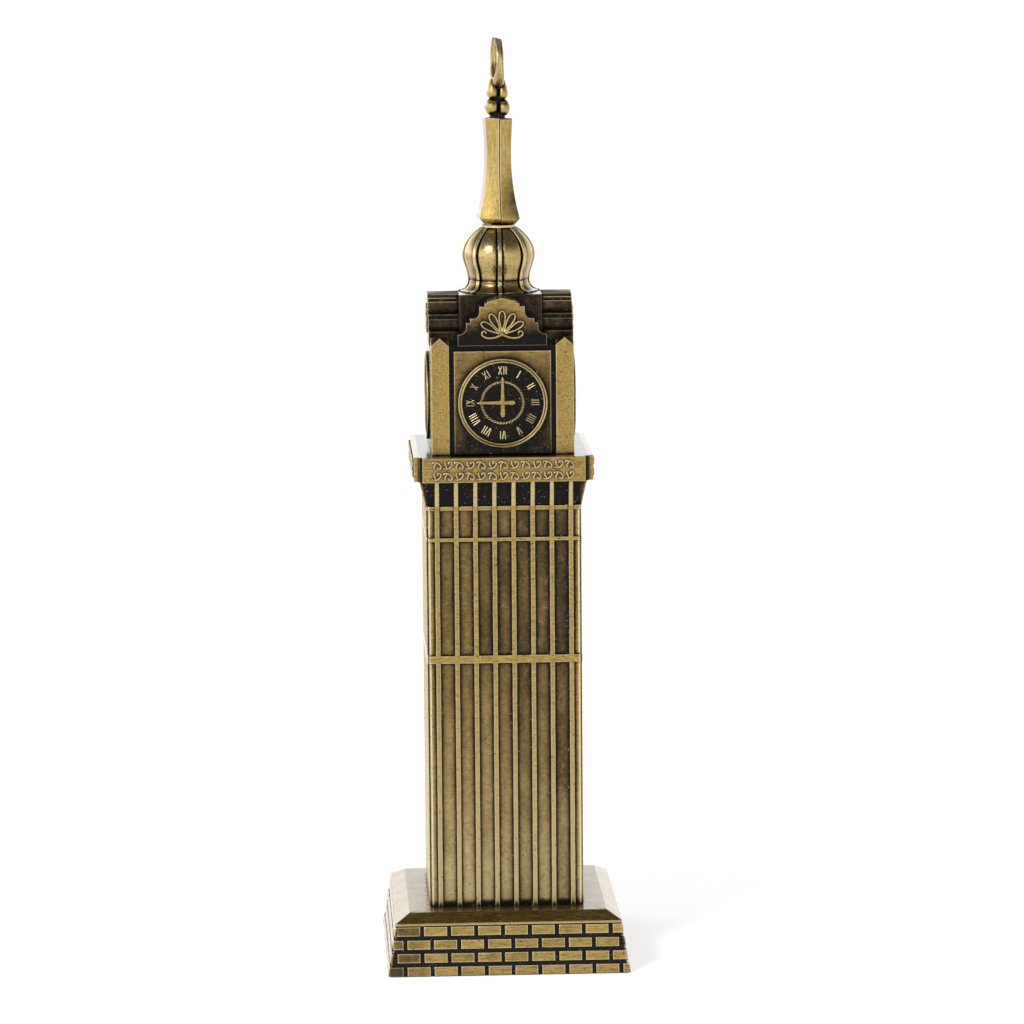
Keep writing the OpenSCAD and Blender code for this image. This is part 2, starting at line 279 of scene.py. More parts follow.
def prism(outline: Sequence[tuple[float, float]], front: float, back: float, bevel: float,
          patina: float = 0.0, edge_patina: float = 0.0) -> bmesh.types.BMesh:
    """An outline drawn on the front face and extruded backwards, its end faces with rounded rims.

    Args:
        outline: its points as (x, z), anticlockwise as seen from in front.
        front: the front end's place along Y.
        back: the back end's place along Y.
        bevel: width of the rounding.
        patina: how tarnished its sides start.
        edge_patina: how tarnished its end faces start.

    Returns:
        The shell.
    """
    stations = [(front, 1.0), (front + 0.3 * bevel, 0.3), (front + bevel, 0.0), (back - bevel, 0.0),
                (back - 0.3 * bevel, 0.3), (back, 1.0)]
    rings = [[Vector((x, y, z)) for x, z in inset(outline, bevel * share)] for y, share in stations]
    return loft(rings, [edge_patina, edge_patina, patina, patina, edge_patina, edge_patina])


def bezier(points: Sequence[tuple[float, float]], steps: int = 10) -> list[tuple[float, float]]:
    """Samples a cubic Bezier curve.

    Args:
        points: its four control points.
        steps: number of stretches.

    Returns:
        The sampled points.
    """
    a, b, c, d = (Vector(point) for point in points)
    samples = []
    for i in range(steps + 1):
        t = i / steps
        spot = a * (1 - t) ** 3 + b * 3 * t * (1 - t) ** 2 + c * 3 * t * t * (1 - t) + d * t ** 3
        samples.append((spot.x, spot.y))
    return samples


def ridge(
    path: Sequence[tuple[float, float]],
    widths: Sequence[float] | float,
    height: float,
    ground: float = 1.0,
) -> bmesh.types.BMesh:
    """A raised stroke with sloping sides and a rounded back, drawn flat with the ground at height 0.

    Args:
        path: the stroke's middle line as (x, y).
        widths: its width, for all of it or at each point.
        height: how far it stands out of the ground.
        ground: how tarnished the ground is at its foot; its back starts clean.

    Returns:
        The shell, lying in X and Y and rising along Z.
    """
    spots = [Vector(point) for point in path]
    sizes = [widths] * len(spots) if isinstance(widths, (int, float)) else list(widths)
    section = [(-0.5, -SUNK), (-0.47, 0.45 * height), (-0.33, 0.86 * height), (0.0, height),
               (0.33, 0.86 * height), (0.47, 0.45 * height), (0.5, -SUNK)]
    rings = []
    for i, (spot, size) in enumerate(zip(spots, sizes)):
        ahead = (spots[min(i + 1, len(spots) - 1)] - spots[max(i - 1, 0)]).normalized()
        across = Vector((-ahead.y, ahead.x))
        rings.append([Vector((*(spot + across * u * size), h)) for u, h in section])
    tones = [ground if h < 0 else 0.0 for _, h in section]
    return loft(rings, [tones] * len(rings))


def dome_bead(centre: tuple[float, float], radius: float, height: float, ground: float = 1.0,
              sides: int = 12) -> bmesh.types.BMesh:
    """A round bead that lies on the ground, drawn flat.

    Args:
        centre: its place as (x, y).
        radius: its radius.
        height: how far it stands out of the ground.
        ground: how tarnished the ground is at its foot.
        sides: points round it.

    Returns:
        The shell.
    """
    rings = []
    for share, level in ((1.0, -SUNK), (0.96, 0.3 * height), (0.72, 0.75 * height), (0.35, height)):
        rings.append([
            Vector((centre[0] + radius * share * math.cos(math.tau * i / sides),
                    centre[1] + radius * share * math.sin(math.tau * i / sides), level))
            for i in range(sides)
        ])
    return loft(rings, [ground, 0.0, 0.0, 0.0])


def stand(face: Face, ground: float, centre_z: float, spin: float = 0.0, x: float = 0.0) -> Matrix:
    """Stands a flat drawing up on one of the tower's faces.

    Args:
        face: which face.
        ground: the ground's distance from the axis.
        centre_z: the height that the drawing's origin comes to.
        spin: turn in its own plane, in radians, clockwise as seen from in front.
        x: the place along the face that its origin comes to.

    Returns:
        The placing matrix.
    """
    upright = Matrix.Rotation(math.radians(90), 4, "X")
    turn = Matrix.Rotation(-spin, 4, "Z")
    return face.turn @ Matrix.Translation((x, -ground, centre_z)) @ upright @ turn


@dataclass
class Casting:
    """The closed shells of one cast piece, gathered in millimetres in layers that are then fused."""

    name: str
    layers: dict[int, tuple[list[Vector], list[tuple[int, ...]], list[float]]] = field(default_factory=dict)

    def add(self, shell: bmesh.types.BMesh, place: Matrix | None = None, layer: int = 0) -> None:
        """Takes in a shell and frees it.

        Args:
            shell: the closed shell.
            place: where it goes, or nothing to leave it where it is.
            layer: the layer it belongs to; the shells of one layer don't cut each other.
        """
        points, faces, tones = self.layers.setdefault(layer, ([], [], []))
        tone_layer = shell.verts.layers.float[PATINA_AND_PAINTED_LIGHT]
        shell.verts.index_update()
        start = len(points)
        for vert in shell.verts:
            points.append(place @ vert.co if place else vert.co.copy())
            tones.append(vert[tone_layer])
        for face in shell.faces:
            faces.append(tuple(start + vert.index for vert in face.verts))
        shell.free()

    def _layer_object(self, layer: int) -> bpy.types.Object:
        """Writes one layer to an object of its own, in metres.

        Args:
            layer: the layer's number.

        Returns:
            The object, which is in no collection yet.
        """
        points, faces, tones = self.layers[layer]
        mesh = bpy.data.meshes.new(f"{self.name}.{layer}")
        mesh.from_pydata([point * MM for point in points], [], faces)
        attribute = mesh.attributes.new(PATINA_AND_PAINTED_LIGHT, "FLOAT", "POINT")
        attribute.data.foreach_set("value", tones)
        return bpy.data.objects.new(mesh.name, mesh)

    def _cut_up(self, skin: bmesh.types.BMesh) -> None:
        """Cuts the many-sided faces of a fused skin into triangles and leaves it a valid mesh.

        Args:
            skin: the fused skin.
        """
        # Two faces with the same corners are a flap without thickness.
        skin.verts.index_update()
        twins: dict[frozenset[int], list[bmesh.types.BMFace]] = {}
        for face in skin.faces:
            twins.setdefault(frozenset(vert.index for vert in face.verts), []).append(face)
        flaps = [face for same in twins.values() if len(same) > 1 for face in same]
        bmesh.ops.delete(skin, geom=flaps, context="FACES")
        # A point with two edges only divides a straight edge, and would be cut to the same
        # triangle on both sides of it.
        spare = [vert for vert in skin.verts if len(vert.link_edges) == 2]
        bmesh.ops.dissolve_verts(skin, verts=spare)
        many_sided = [face for face in skin.faces if len(face.verts) > 4]
        bmesh.ops.triangulate(skin, faces=many_sided, ngon_method="BEAUTY")
        stray = [edge for edge in skin.edges if not edge.link_faces]
        bmesh.ops.delete(skin, geom=stray, context="EDGES")

    def _fused(self) -> bpy.types.Mesh:
        """Fuses the layers into one skin.

        Returns:
            The fused mesh, in metres, with its patina.
        """
        scene = bpy.context.scene
        parts = [self._layer_object(layer) for layer in sorted(self.layers)]
        for part in parts:
            scene.collection.objects.link(part)
        for other in parts[1:]:
            fuse = parts[0].modifiers.new("fuse", "BOOLEAN")
            fuse.operation = "UNION"
            fuse.solver = "MANIFOLD"
            fuse.object = other
        mesh = bpy.data.meshes.new_from_object(parts[0].evaluated_get(bpy.context.evaluated_depsgraph_get()))
        for part in parts:
            bpy.data.objects.remove(part)
        skin = bmesh.new()
        skin.from_mesh(mesh)
        self._cut_up(skin)
        skin.to_mesh(mesh)
        skin.free()
        self._carry_patina(mesh)
        return mesh

    def _carry_patina(self, mesh: bpy.types.Mesh) -> None:
        """Gives each corner of the fused skin the patina of the place that it came from.

        Args:
            mesh: the fused mesh.
        """
        points, faces, tones = [], [], []
        for spots, sides, starts in self.layers.values():
            first = len(points)
            points += [spot * MM for spot in spots]
            faces += [[first + i for i in side] for side in sides]
            tones += starts
        tree = BVHTree.FromPolygons(points, faces)
        values = []
        for polygon in mesh.polygons:
            source = faces[tree.find_nearest(polygon.center)[2]]
            outline = [points[i] for i in source]
            for i in polygon.vertices:
                shares = poly_3d_calc(outline, mesh.vertices[i].co)
                values.append(sum(share * tones[k] for share, k in zip(shares, source)))
        if PATINA_AND_PAINTED_LIGHT in mesh.attributes:
            mesh.attributes.remove(mesh.attributes[PATINA_AND_PAINTED_LIGHT])
        mesh.attributes.new(PATINA_AND_PAINTED_LIGHT, "FLOAT", "CORNER").data.foreach_set("value", values)

    def cast(self, finish: bpy.types.Material, node: str) -> bpy.types.Object:
        """Fuses the layers, dresses the piece and sets it into the frame.

        Args:
            finish: its material.
            node: the frame's node that it stands for.

        Returns:
            The finished object.
        """
        mesh = self._fused()
        mesh.shade_smooth()
        mesh.set_sharp_from_angle(angle=SHARP_ANGLE)
        piece = bpy.data.objects.new(self.name, mesh)
        bpy.context.scene.collection.objects.link(piece)
        weigh = piece.modifiers.new("weigh", "WEIGHTED_NORMAL")
        weigh.keep_sharp = True
        settled = bpy.data.meshes.new_from_object(piece.evaluated_get(bpy.context.evaluated_depsgraph_get()))
        piece.modifiers.clear()
        piece.data = settled
        settled.name = self.name
        settled.materials.clear()
        settled.materials.append(finish)
        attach(piece, BODY)
        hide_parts(node)
        log.info("%s: %d faces", self.name, len(settled.polygons))
        return piece


# ---------------------------------------------------------------- finishes


def linear(code: str) -> tuple[float, float, float, float]:
    """Turns an sRGB hex colour to linear.

    Args:
        code: six hex digits.

    Returns:
        The colour with an alpha of 1.
    """
    channels = [int(code[i:i + 2], 16) / 255 for i in (0, 2, 4)]
    values = [c / 12.92 if c <= 0.04045 else ((c + 0.055) / 1.055) ** 2.4 for c in channels]
    return (*values, 1.0)


def add_node(tree: bpy.types.NodeTree, kind: str, inputs: dict | None = None, **settings) -> bpy.types.Node:
    """Adds a node to a tree.

    Args:
        tree: the tree.
        kind: the node's type.
        inputs: for each input, a value or the socket that feeds it.
        settings: the node's own properties.

    Returns:
        The node.
    """
    node = tree.nodes.new(kind)
    for key, value in settings.items():
        setattr(node, key, value)
    for key, value in (inputs or {}).items():
        if isinstance(value, bpy.types.NodeSocket):
            tree.links.new(value, node.inputs[key])
        else:
            node.inputs[key].default_value = value
    return node


def blend(tree: bpy.types.NodeTree, share: bpy.types.NodeSocket, under: Feed,
          over: Feed) -> bpy.types.NodeSocket:
    """Mixes two colours.

    Args:
        tree: the material's tree.
        share: the share of the second colour.
        under: the first colour.
        over: the second colour.

    Returns:
        The mixed colour.
    """
    return add_node(tree, "ShaderNodeMix", {0: share, 6: under, 7: over}, data_type="RGBA").outputs[2]


def remap(tree: bpy.types.NodeTree, value: bpy.types.NodeSocket, start: float, stop: float,
          low: float = 0.0, high: float = 1.0) -> bpy.types.NodeSocket:
    """Stretches a range of values to another, and holds them inside it.

    Args:
        tree: the material's tree.
        value: the value.
        start: the value that becomes the low one.
        stop: the value that becomes the high one.
        low: the low result.
        high: the high result.

    Returns:
        The result.
    """
    return add_node(tree, "ShaderNodeMapRange", {0: value, 1: start, 2: stop, 3: low, 4: high}).outputs[0]


def compute(tree: bpy.types.NodeTree, operation: str, *terms: Feed) -> bpy.types.NodeSocket:
    """Works one value out from others.

    Args:
        tree: the material's tree.
        operation: the kind of sum.
        terms: its numbers or sockets, in order.

    Returns:
        The result.
    """
    return add_node(tree, "ShaderNodeMath", dict(enumerate(terms)), operation=operation).outputs[0]


def mottle(tree: bpy.types.NodeTree, spot: bpy.types.NodeSocket, size_mm: float, detail: float,
           roughness: float = 0.5) -> bpy.types.NodeSocket:
    """Adds a cloudy pattern.

    Args:
        tree: the material's tree.
        spot: the place in millimetres.
        size_mm: the size of its clouds.
        detail: how many finer layers it has.
        roughness: how strong the finer layers are.

    Returns:
        The pattern's strength.
    """
    return add_node(tree, "ShaderNodeTexNoise", {
        "Vector": spot,
        "Scale": 1 / size_mm,
        "Detail": detail,
        "Roughness": roughness,
    }).outputs[0]


def place_mm(tree: bpy.types.NodeTree) -> bpy.types.NodeSocket:
    """The place on the object, in millimetres.

    Args:
        tree: the material's tree.

    Returns:
        The place.
    """
    place = add_node(tree, "ShaderNodeTexCoord").outputs["Object"]
    return add_node(tree, "ShaderNodeVectorMath", {0: place, 3: 1 / MM}, operation="SCALE").outputs[0]


def new_material(name: str) -> tuple[bpy.types.Material, bpy.types.NodeTree]:
    """Starts an empty node material.

    Args:
        name: its name.

    Returns:
        The material and its tree.
    """
    material = bpy.data.materials.new(name)
    material.use_nodes = True
    material.node_tree.nodes.clear()
    return material, material.node_tree


@dataclass(frozen=True)
class AntiqueBrass:
    """Antique-brass-plated zinc alloy: cast, plated, blackened, brushed back and lacquered.

    The brushing leaves bright brass on what stands out and black in the corners. The grain is drawn
    about three times as coarse as the real one, so that it shows at arm's length.
    """

    name: str
    brushing: Brushing = Brushing.LEVEL
    brass: str = "B69B5B"
    warm: str = "6F5B2C"
    pale: str = "B8A77C"
    brown: str = "584425"
    black: str = "110D08"
    # Cream for edges bared by wear and for painted highlights.
    worn_and_highlight: str = "F2E0B4"
    copper: str = "8E6A55"
    lime: str = "9C948A"
    roughness: float = 0.34
    crevice_mm: float = 0.8
    crevice: float = 1.0
    cloud: float = 0.12
    blotch: float = 0.1
    edge: float = 0.6
    # How strongly that cream goes on, for wear and painted highlight alike.
    rub_and_highlight: float = 0.85
    grain_mm: float = 0.26
    grain: float = 0.35
    pale_mm: tuple[float, float] | None = None

    def build(self) -> bpy.types.Material:
        """Makes the material.

        Returns:
            The material.
        """
        material, tree = new_material(self.name)
        spot = place_mm(tree)
        tarnish_and_painted_light, rim = self._tarnish(tree, spot)
        tone, grain, speck = self._brushed(tree, spot)

        # The brown and black shares follow the tarnish, painted shade included.
        browned_and_shaded = remap(tree, tarnish_and_painted_light, 0.05, 0.6)
        aged_and_shaded = blend(tree, browned_and_shaded, tone, linear(self.brown))
        # Bare copper shows through in a few rubbed spots.
        patch = remap(tree, mottle(tree, spot, 3.1, 5.0, 0.75), 0.58, 0.66, 0.0, 0.75)
        coppery = blend(tree, compute(tree, "MULTIPLY", patch, browned_and_shaded), aged_and_shaded, linear(self.copper))
        blackened = remap(tree, tarnish_and_painted_light, 0.55, 0.95)
        dark = blend(tree, blackened, coppery, linear(self.black))
        # Polishing paste is left behind as pale flecks in the deepest corners.
        fleck = compute(tree, "MULTIPLY", remap(tree, speck, 0.66, 0.71), blackened)
        flecked = blend(tree, fleck, dark, linear(self.lime))
        # The cream colour goes on edges bared by wear and on painted highlights.
        rubbed_and_highlit = compute(tree, "MULTIPLY", rim, self.rub_and_highlight)
        bright = blend(tree, rubbed_and_highlit, flecked, linear(self.worn_and_highlight))
        pits = remap(tree, speck, 0.36, 0.3, 0.0, 0.85)
        pitted = blend(tree, pits, bright, linear(self.black))

        # The patina is duller than the brass, and the brushing breaks the shine up.
        gloss = remap(tree, tarnish_and_painted_light, 0.0, 1.0, self.roughness, self.roughness + 0.12)
        rough = compute(tree, "MULTIPLY_ADD", grain, 0.14, gloss)
        height = compute(tree, "MULTIPLY_ADD", speck, 0.8, grain)
        bump = add_node(tree, "ShaderNodeBump",
                        {"Strength": self.grain, "Distance": 0.04 * MM, "Height": height})
        shader = add_node(tree, "ShaderNodeBsdfPrincipled", {
            "Base Color": pitted,
            "Metallic": 1.0,
            "Roughness": rough,
            "Normal": bump.outputs[0],
            "Coat Weight": 1.0,
            "Coat Roughness": 0.12,
            "Coat IOR": 1.2,
        })
        add_node(tree, "ShaderNodeOutputMaterial", {0: shader.outputs[0]})
        return material

    def _tarnish(self, tree: bpy.types.NodeTree,
                 spot: bpy.types.NodeSocket) -> tuple[bpy.types.NodeSocket, bpy.types.NodeSocket]:
        """How tarnished each point is, from its start, the corners near it and clouds of uneven patina.

        Args:
            tree: the material's tree.
            spot: the place in millimetres.

        Returns:
            How dark each point is, painted shade included, and the share of bright metal on edges, painted
            highlight included.
        """
        start = add_node(tree, "ShaderNodeAttribute", attribute_name=PATINA_AND_PAINTED_LIGHT).outputs["Fac"]
        hollow = add_node(tree, "ShaderNodeAmbientOcclusion", {"Distance": self.crevice_mm * MM},
                          samples=8).outputs["AO"]
        edge = add_node(tree, "ShaderNodeAmbientOcclusion", {"Distance": 0.3 * MM},
                        samples=8, inside=True).outputs["AO"]
        drawn_out = add_node(tree, "ShaderNodeVectorMath", {0: spot, 1: (1.0, 1.0, 0.3)},
                             operation="MULTIPLY").outputs[0]
        cloud = mottle(tree, drawn_out, 5.0, 4.0, 0.6)
        blotch = mottle(tree, spot, 0.9, 5.0, 0.75)
        corner = remap(tree, hollow, 0.93, 0.5, 0.0, self.crevice)
        thin = remap(tree, edge, 0.9, 0.55)
        open_air = remap(tree, hollow, 0.6, 0.85)
        outer = compute(tree, "MULTIPLY", thin, open_air)
        # A start below zero marks what is drawn bright: wear from hands and cloths, and painted highlights
        # and reflections on the shaft's ribs.
        wear_and_painted_highlight = remap(tree, start, 0.0, -1.0)
        clean = remap(tree, start, 0.55, 1.0, 1.0, 0.0)
        rim = compute(tree, "MAXIMUM", compute(tree, "MULTIPLY", outer, clean), wear_and_painted_highlight)
        clouds = remap(tree, cloud, 0.35, 0.65, -self.cloud, self.cloud)
        blotches = remap(tree, blotch, 0.35, 0.7, -self.blotch, self.blotch)
        # Patina in the corners plus the start, which holds painted shade on the shaft and spire.
        grime_and_painted_shade = compute(tree, "ADD", corner, start)
        uneven = compute(tree, "ADD", clouds, blotches)
        patchy = compute(tree, "ADD", uneven, grime_and_painted_shade)
        tarnish_and_painted_light = compute(tree, "MULTIPLY_ADD", rim, -self.edge, patchy)
        return tarnish_and_painted_light, rim

    def _brushed(self, tree: bpy.types.NodeTree,
                 spot: bpy.types.NodeSocket) -> tuple[bpy.types.NodeSocket, ...]:
        """The brushed brass itself.

        Args:
            tree: the material's tree.
            spot: the place in millimetres.

        Returns:
            Its colour, the brushing's grain and the fine specks.
        """
        # Faces that look up were brushed from left to right.
        facing = add_node(tree, "ShaderNodeTexCoord").outputs["Normal"]
        upward = add_node(tree, "ShaderNodeSeparateXYZ", {0: facing}).outputs[2]
        level = compute(tree, "ABSOLUTE", upward)
        quicker = add_node(tree, "ShaderNodeCombineXYZ", {1: level}).outputs[0]
        pace = add_node(tree, "ShaderNodeVectorMath", {0: quicker, 1: self.brushing.value},
                        operation="ADD").outputs[0]
        stretched = add_node(tree, "ShaderNodeVectorMath", {0: spot, 1: pace},
                             operation="MULTIPLY").outputs[0]
        grain = remap(tree, mottle(tree, stretched, self.grain_mm, 4.0, 0.7), 0.34, 0.66)
        speck = mottle(tree, spot, 0.4, 3.0, 0.6)
        mixed = compute(tree, "MULTIPLY_ADD", speck, 0.9, -0.45)
        share = add_node(tree, "ShaderNodeMath", {0: grain, 1: mixed}, operation="ADD",
                         use_clamp=True).outputs[0]
        tone = blend(tree, share, linear(self.warm), linear(self.brass))
        if self.pale_mm:
            height = add_node(tree, "ShaderNodeSeparateXYZ", {0: spot}).outputs[2]
            paling = remap(tree, height, *self.pale_mm, 0.0, 0.75)
            tone = blend(tree, paling, tone, linear(self.pale))
        return tone, grain, speck


@dataclass(frozen=True)
class ZincPlatedSteel:
    """Zinc-plated steel, turned and rolled: pale bluish grey with a dull, slightly streaked shine."""

    name: str = "zinc_plated_mild_steel"
    bright: str = "C4C9CE"
    dull: str = "8F959B"
    roughness: float = 0.32
    streak_mm: float = 0.3

    def build(self) -> bpy.types.Material:
        """Makes the material.

        Returns:
            The material.
        """
        material, tree = new_material(self.name)
        place = add_node(tree, "ShaderNodeTexCoord").outputs["Object"]
        # The thread and the turning marks run round the rod, so the streaks lie level.
        spot = add_node(tree, "ShaderNodeVectorMath", {0: place, 1: (0.1 / MM, 0.1 / MM, 1 / MM)},
                        operation="MULTIPLY").outputs[0]
        streak = mottle(tree, spot, self.streak_mm, 3.0)
        tone = blend(tree, streak, linear(self.dull), linear(self.bright))
        rough = compute(tree, "MULTIPLY_ADD", streak, 0.2, self.roughness)
        bump = add_node(tree, "ShaderNodeBump", {"Strength": 0.3, "Distance": 0.03 * MM, "Height": streak})
        shader = add_node(tree, "ShaderNodeBsdfPrincipled", {
            "Base Color": tone,
            "Metallic": 1.0,
            "Roughness": rough,
            "Normal": bump.outputs[0],
        })
        add_node(tree, "ShaderNodeOutputMaterial", {0: shader.outputs[0]})
        return material


@dataclass(frozen=True)
class PressedFelt:
    """Pressed wool felt: matt, dark green, with short matted fibres and a soft sheen at grazing angles.

    The fibres are drawn three times as coarse as the real ones, so that they show at all.
    """

    name: str = "pressed_wool_felt"
    dark: str = "1E2E26"
    light: str = "35493D"
    fibre_mm: float = 0.12

    def build(self) -> bpy.types.Material:
        """Makes the material.

        Returns:
            The material.
        """
        material, tree = new_material(self.name)
        fibres = add_node(tree, "ShaderNodeTexNoise", {
            "Vector": place_mm(tree),
            "Scale": 1 / (3 * self.fibre_mm),
            "Detail": 5.0,
            "Distortion": 1.5,
        }).outputs[0]
        tone = blend(tree, fibres, linear(self.dark), linear(self.light))
        bump = add_node(tree, "ShaderNodeBump", {"Strength": 0.8, "Distance": 0.1 * MM, "Height": fibres})
        shader = add_node(tree, "ShaderNodeBsdfPrincipled", {
            "Base Color": tone,
            "Roughness": 0.95,
            "Normal": bump.outputs[0],
            "Sheen Weight": 0.5,
            "Sheen Roughness": 0.5,
        })
        add_node(tree, "ShaderNodeOutputMaterial", {0: shader.outputs[0]})
        return material


# ---------------------------------------------------------------- base


@dataclass
class Plinth:
    """The square base: battered brick wall, groove and fascia, bevel and deck, hollow from below."""

    finish: bpy.types.Material
    brick_out: float = 0.45
    pitch: float = 5.23
    joint: float = 0.75
    courses: int = 4
    wall_top_half: float = 21.95
    wall_h: float = 10.25
    groove_z: float = 9.65
    groove_h: float = 0.15
    groove_in: float = 0.75
    deck_half: float = 19.15
    deck_inner_half: float = 17.0
    deck_t: float = 1.9
    cavity_half: float = 19.3
    pad_half: float = 20.7
    pad_h: float = 0.8
    bore_r: float = 1.7
    first_z: float = 0.2
    bond: tuple[float, float] = (3.38, 1.45)
    seed: int = 11

    def core(self, foot_half: float, deck_z: float) -> bmesh.types.BMesh:
        """The body behind the bricks, one closed shell round its cavity and bore.

        Args:
            foot_half: half the side of the foot over the bricks.
            deck_z: height of the deck.

        Returns:
            The shell.
        """
        low = foot_half - self.brick_out
        high = self.wall_top_half - self.brick_out
        at_groove = low + (high - low) * self.groove_z / self.wall_h
        top = self.groove_z + self.groove_h
        outline = [
            (low, 0.0, 0.9), (at_groove, self.groove_z, 0.95),
            (self.wall_top_half - self.groove_in, self.groove_z, 1.0),
            (self.wall_top_half - self.groove_in, top, 1.0),
            (self.wall_top_half, top, 0.1), (self.wall_top_half, self.wall_h, 0.1),
            (self.deck_half, deck_z, 0.1),
        ]
        rings = [square_ring(half, 0.3, z) for half, z, _ in outline]
        tones = [tone for _, _, tone in outline]
        ceiling = deck_z - self.deck_t
        inner = [
            (self.deck_inner_half, deck_z, 0.02 * self.deck_inner_half), (self.bore_r, deck_z, self.bore_r),
            (self.bore_r, ceiling, self.bore_r), (self.cavity_half, ceiling, 0.5),
            (self.cavity_half, self.pad_h, 0.5), (self.pad_half, self.pad_h, 0.5), (self.pad_half, 0.0, 0.5),
        ]
        rings += [square_ring(half, corner, z) for half, z, corner in inner]
        tones += [0.15] + [0.6] * (len(inner) - 1)
        return loft(rings, tones, looped=True, bevel=0.12)

    def bricks(self, casting: Casting, foot_half: float) -> None:
        """Lays the bricks of all four faces in running bond.

        Args:
            casting: the casting they belong to.
            foot_half: half the side of the foot over the bricks.
        """
        dice = random.Random(self.seed)
        batter = math.atan((foot_half - self.wall_top_half) / self.wall_h)
        course_h = (self.groove_z - self.first_z + self.joint) / self.courses
        brick_h = course_h - self.joint
        brick_l = self.pitch - self.joint
        for face in Face:
            for course in range(self.courses):
                z = self.first_z + course * course_h
                reach = foot_half - math.tan(batter) * (z + brick_h)
                for i in range(-5, 6):
                    centre = self.bond[course % 2] + i * self.pitch
                    left = max(centre - brick_l / 2, -reach) + dice.uniform(-0.04, 0.04)
                    right = min(centre + brick_l / 2, reach) + dice.uniform(-0.04, 0.04)
                    left = max(left, -reach)
                    right = min(right, reach)
                    if right - left < self.joint:
                        continue
                    tone = 0.12 + dice.uniform(-0.1, 0.12)
                    proud = dice.uniform(-0.03, 0.0)
                    brick = block((left, -proud, 0.0), (right, 0.75, brick_h), 0.13)
                    stain = tone + 0.5 * max(0.0, -(left + right) / 2 - 13) / 9
                    shade(brick, lambda spot, stain=stain: 1.0 if spot.y > 0.4 else stain)
                    lean = Matrix.Rotation(-batter, 4, "X")
                    place = Matrix.Translation((0, math.tan(batter) * z - foot_half, z))
                    casting.add(brick, face.turn @ place @ lean, layer=1 + face.value)

    def build(self) -> bpy.types.Object:
        """Makes the plinth.

        Returns:
            The finished piece.
        """
        box = Box.of("base_plinth")
        casting = Casting("plinth")
        casting.add(self.core(box.high.x, box.high.z))
        self.bricks(casting, box.high.x)
        return casting.cast(self.finish, "base_plinth")


# ---------------------------------------------------------------- shaft


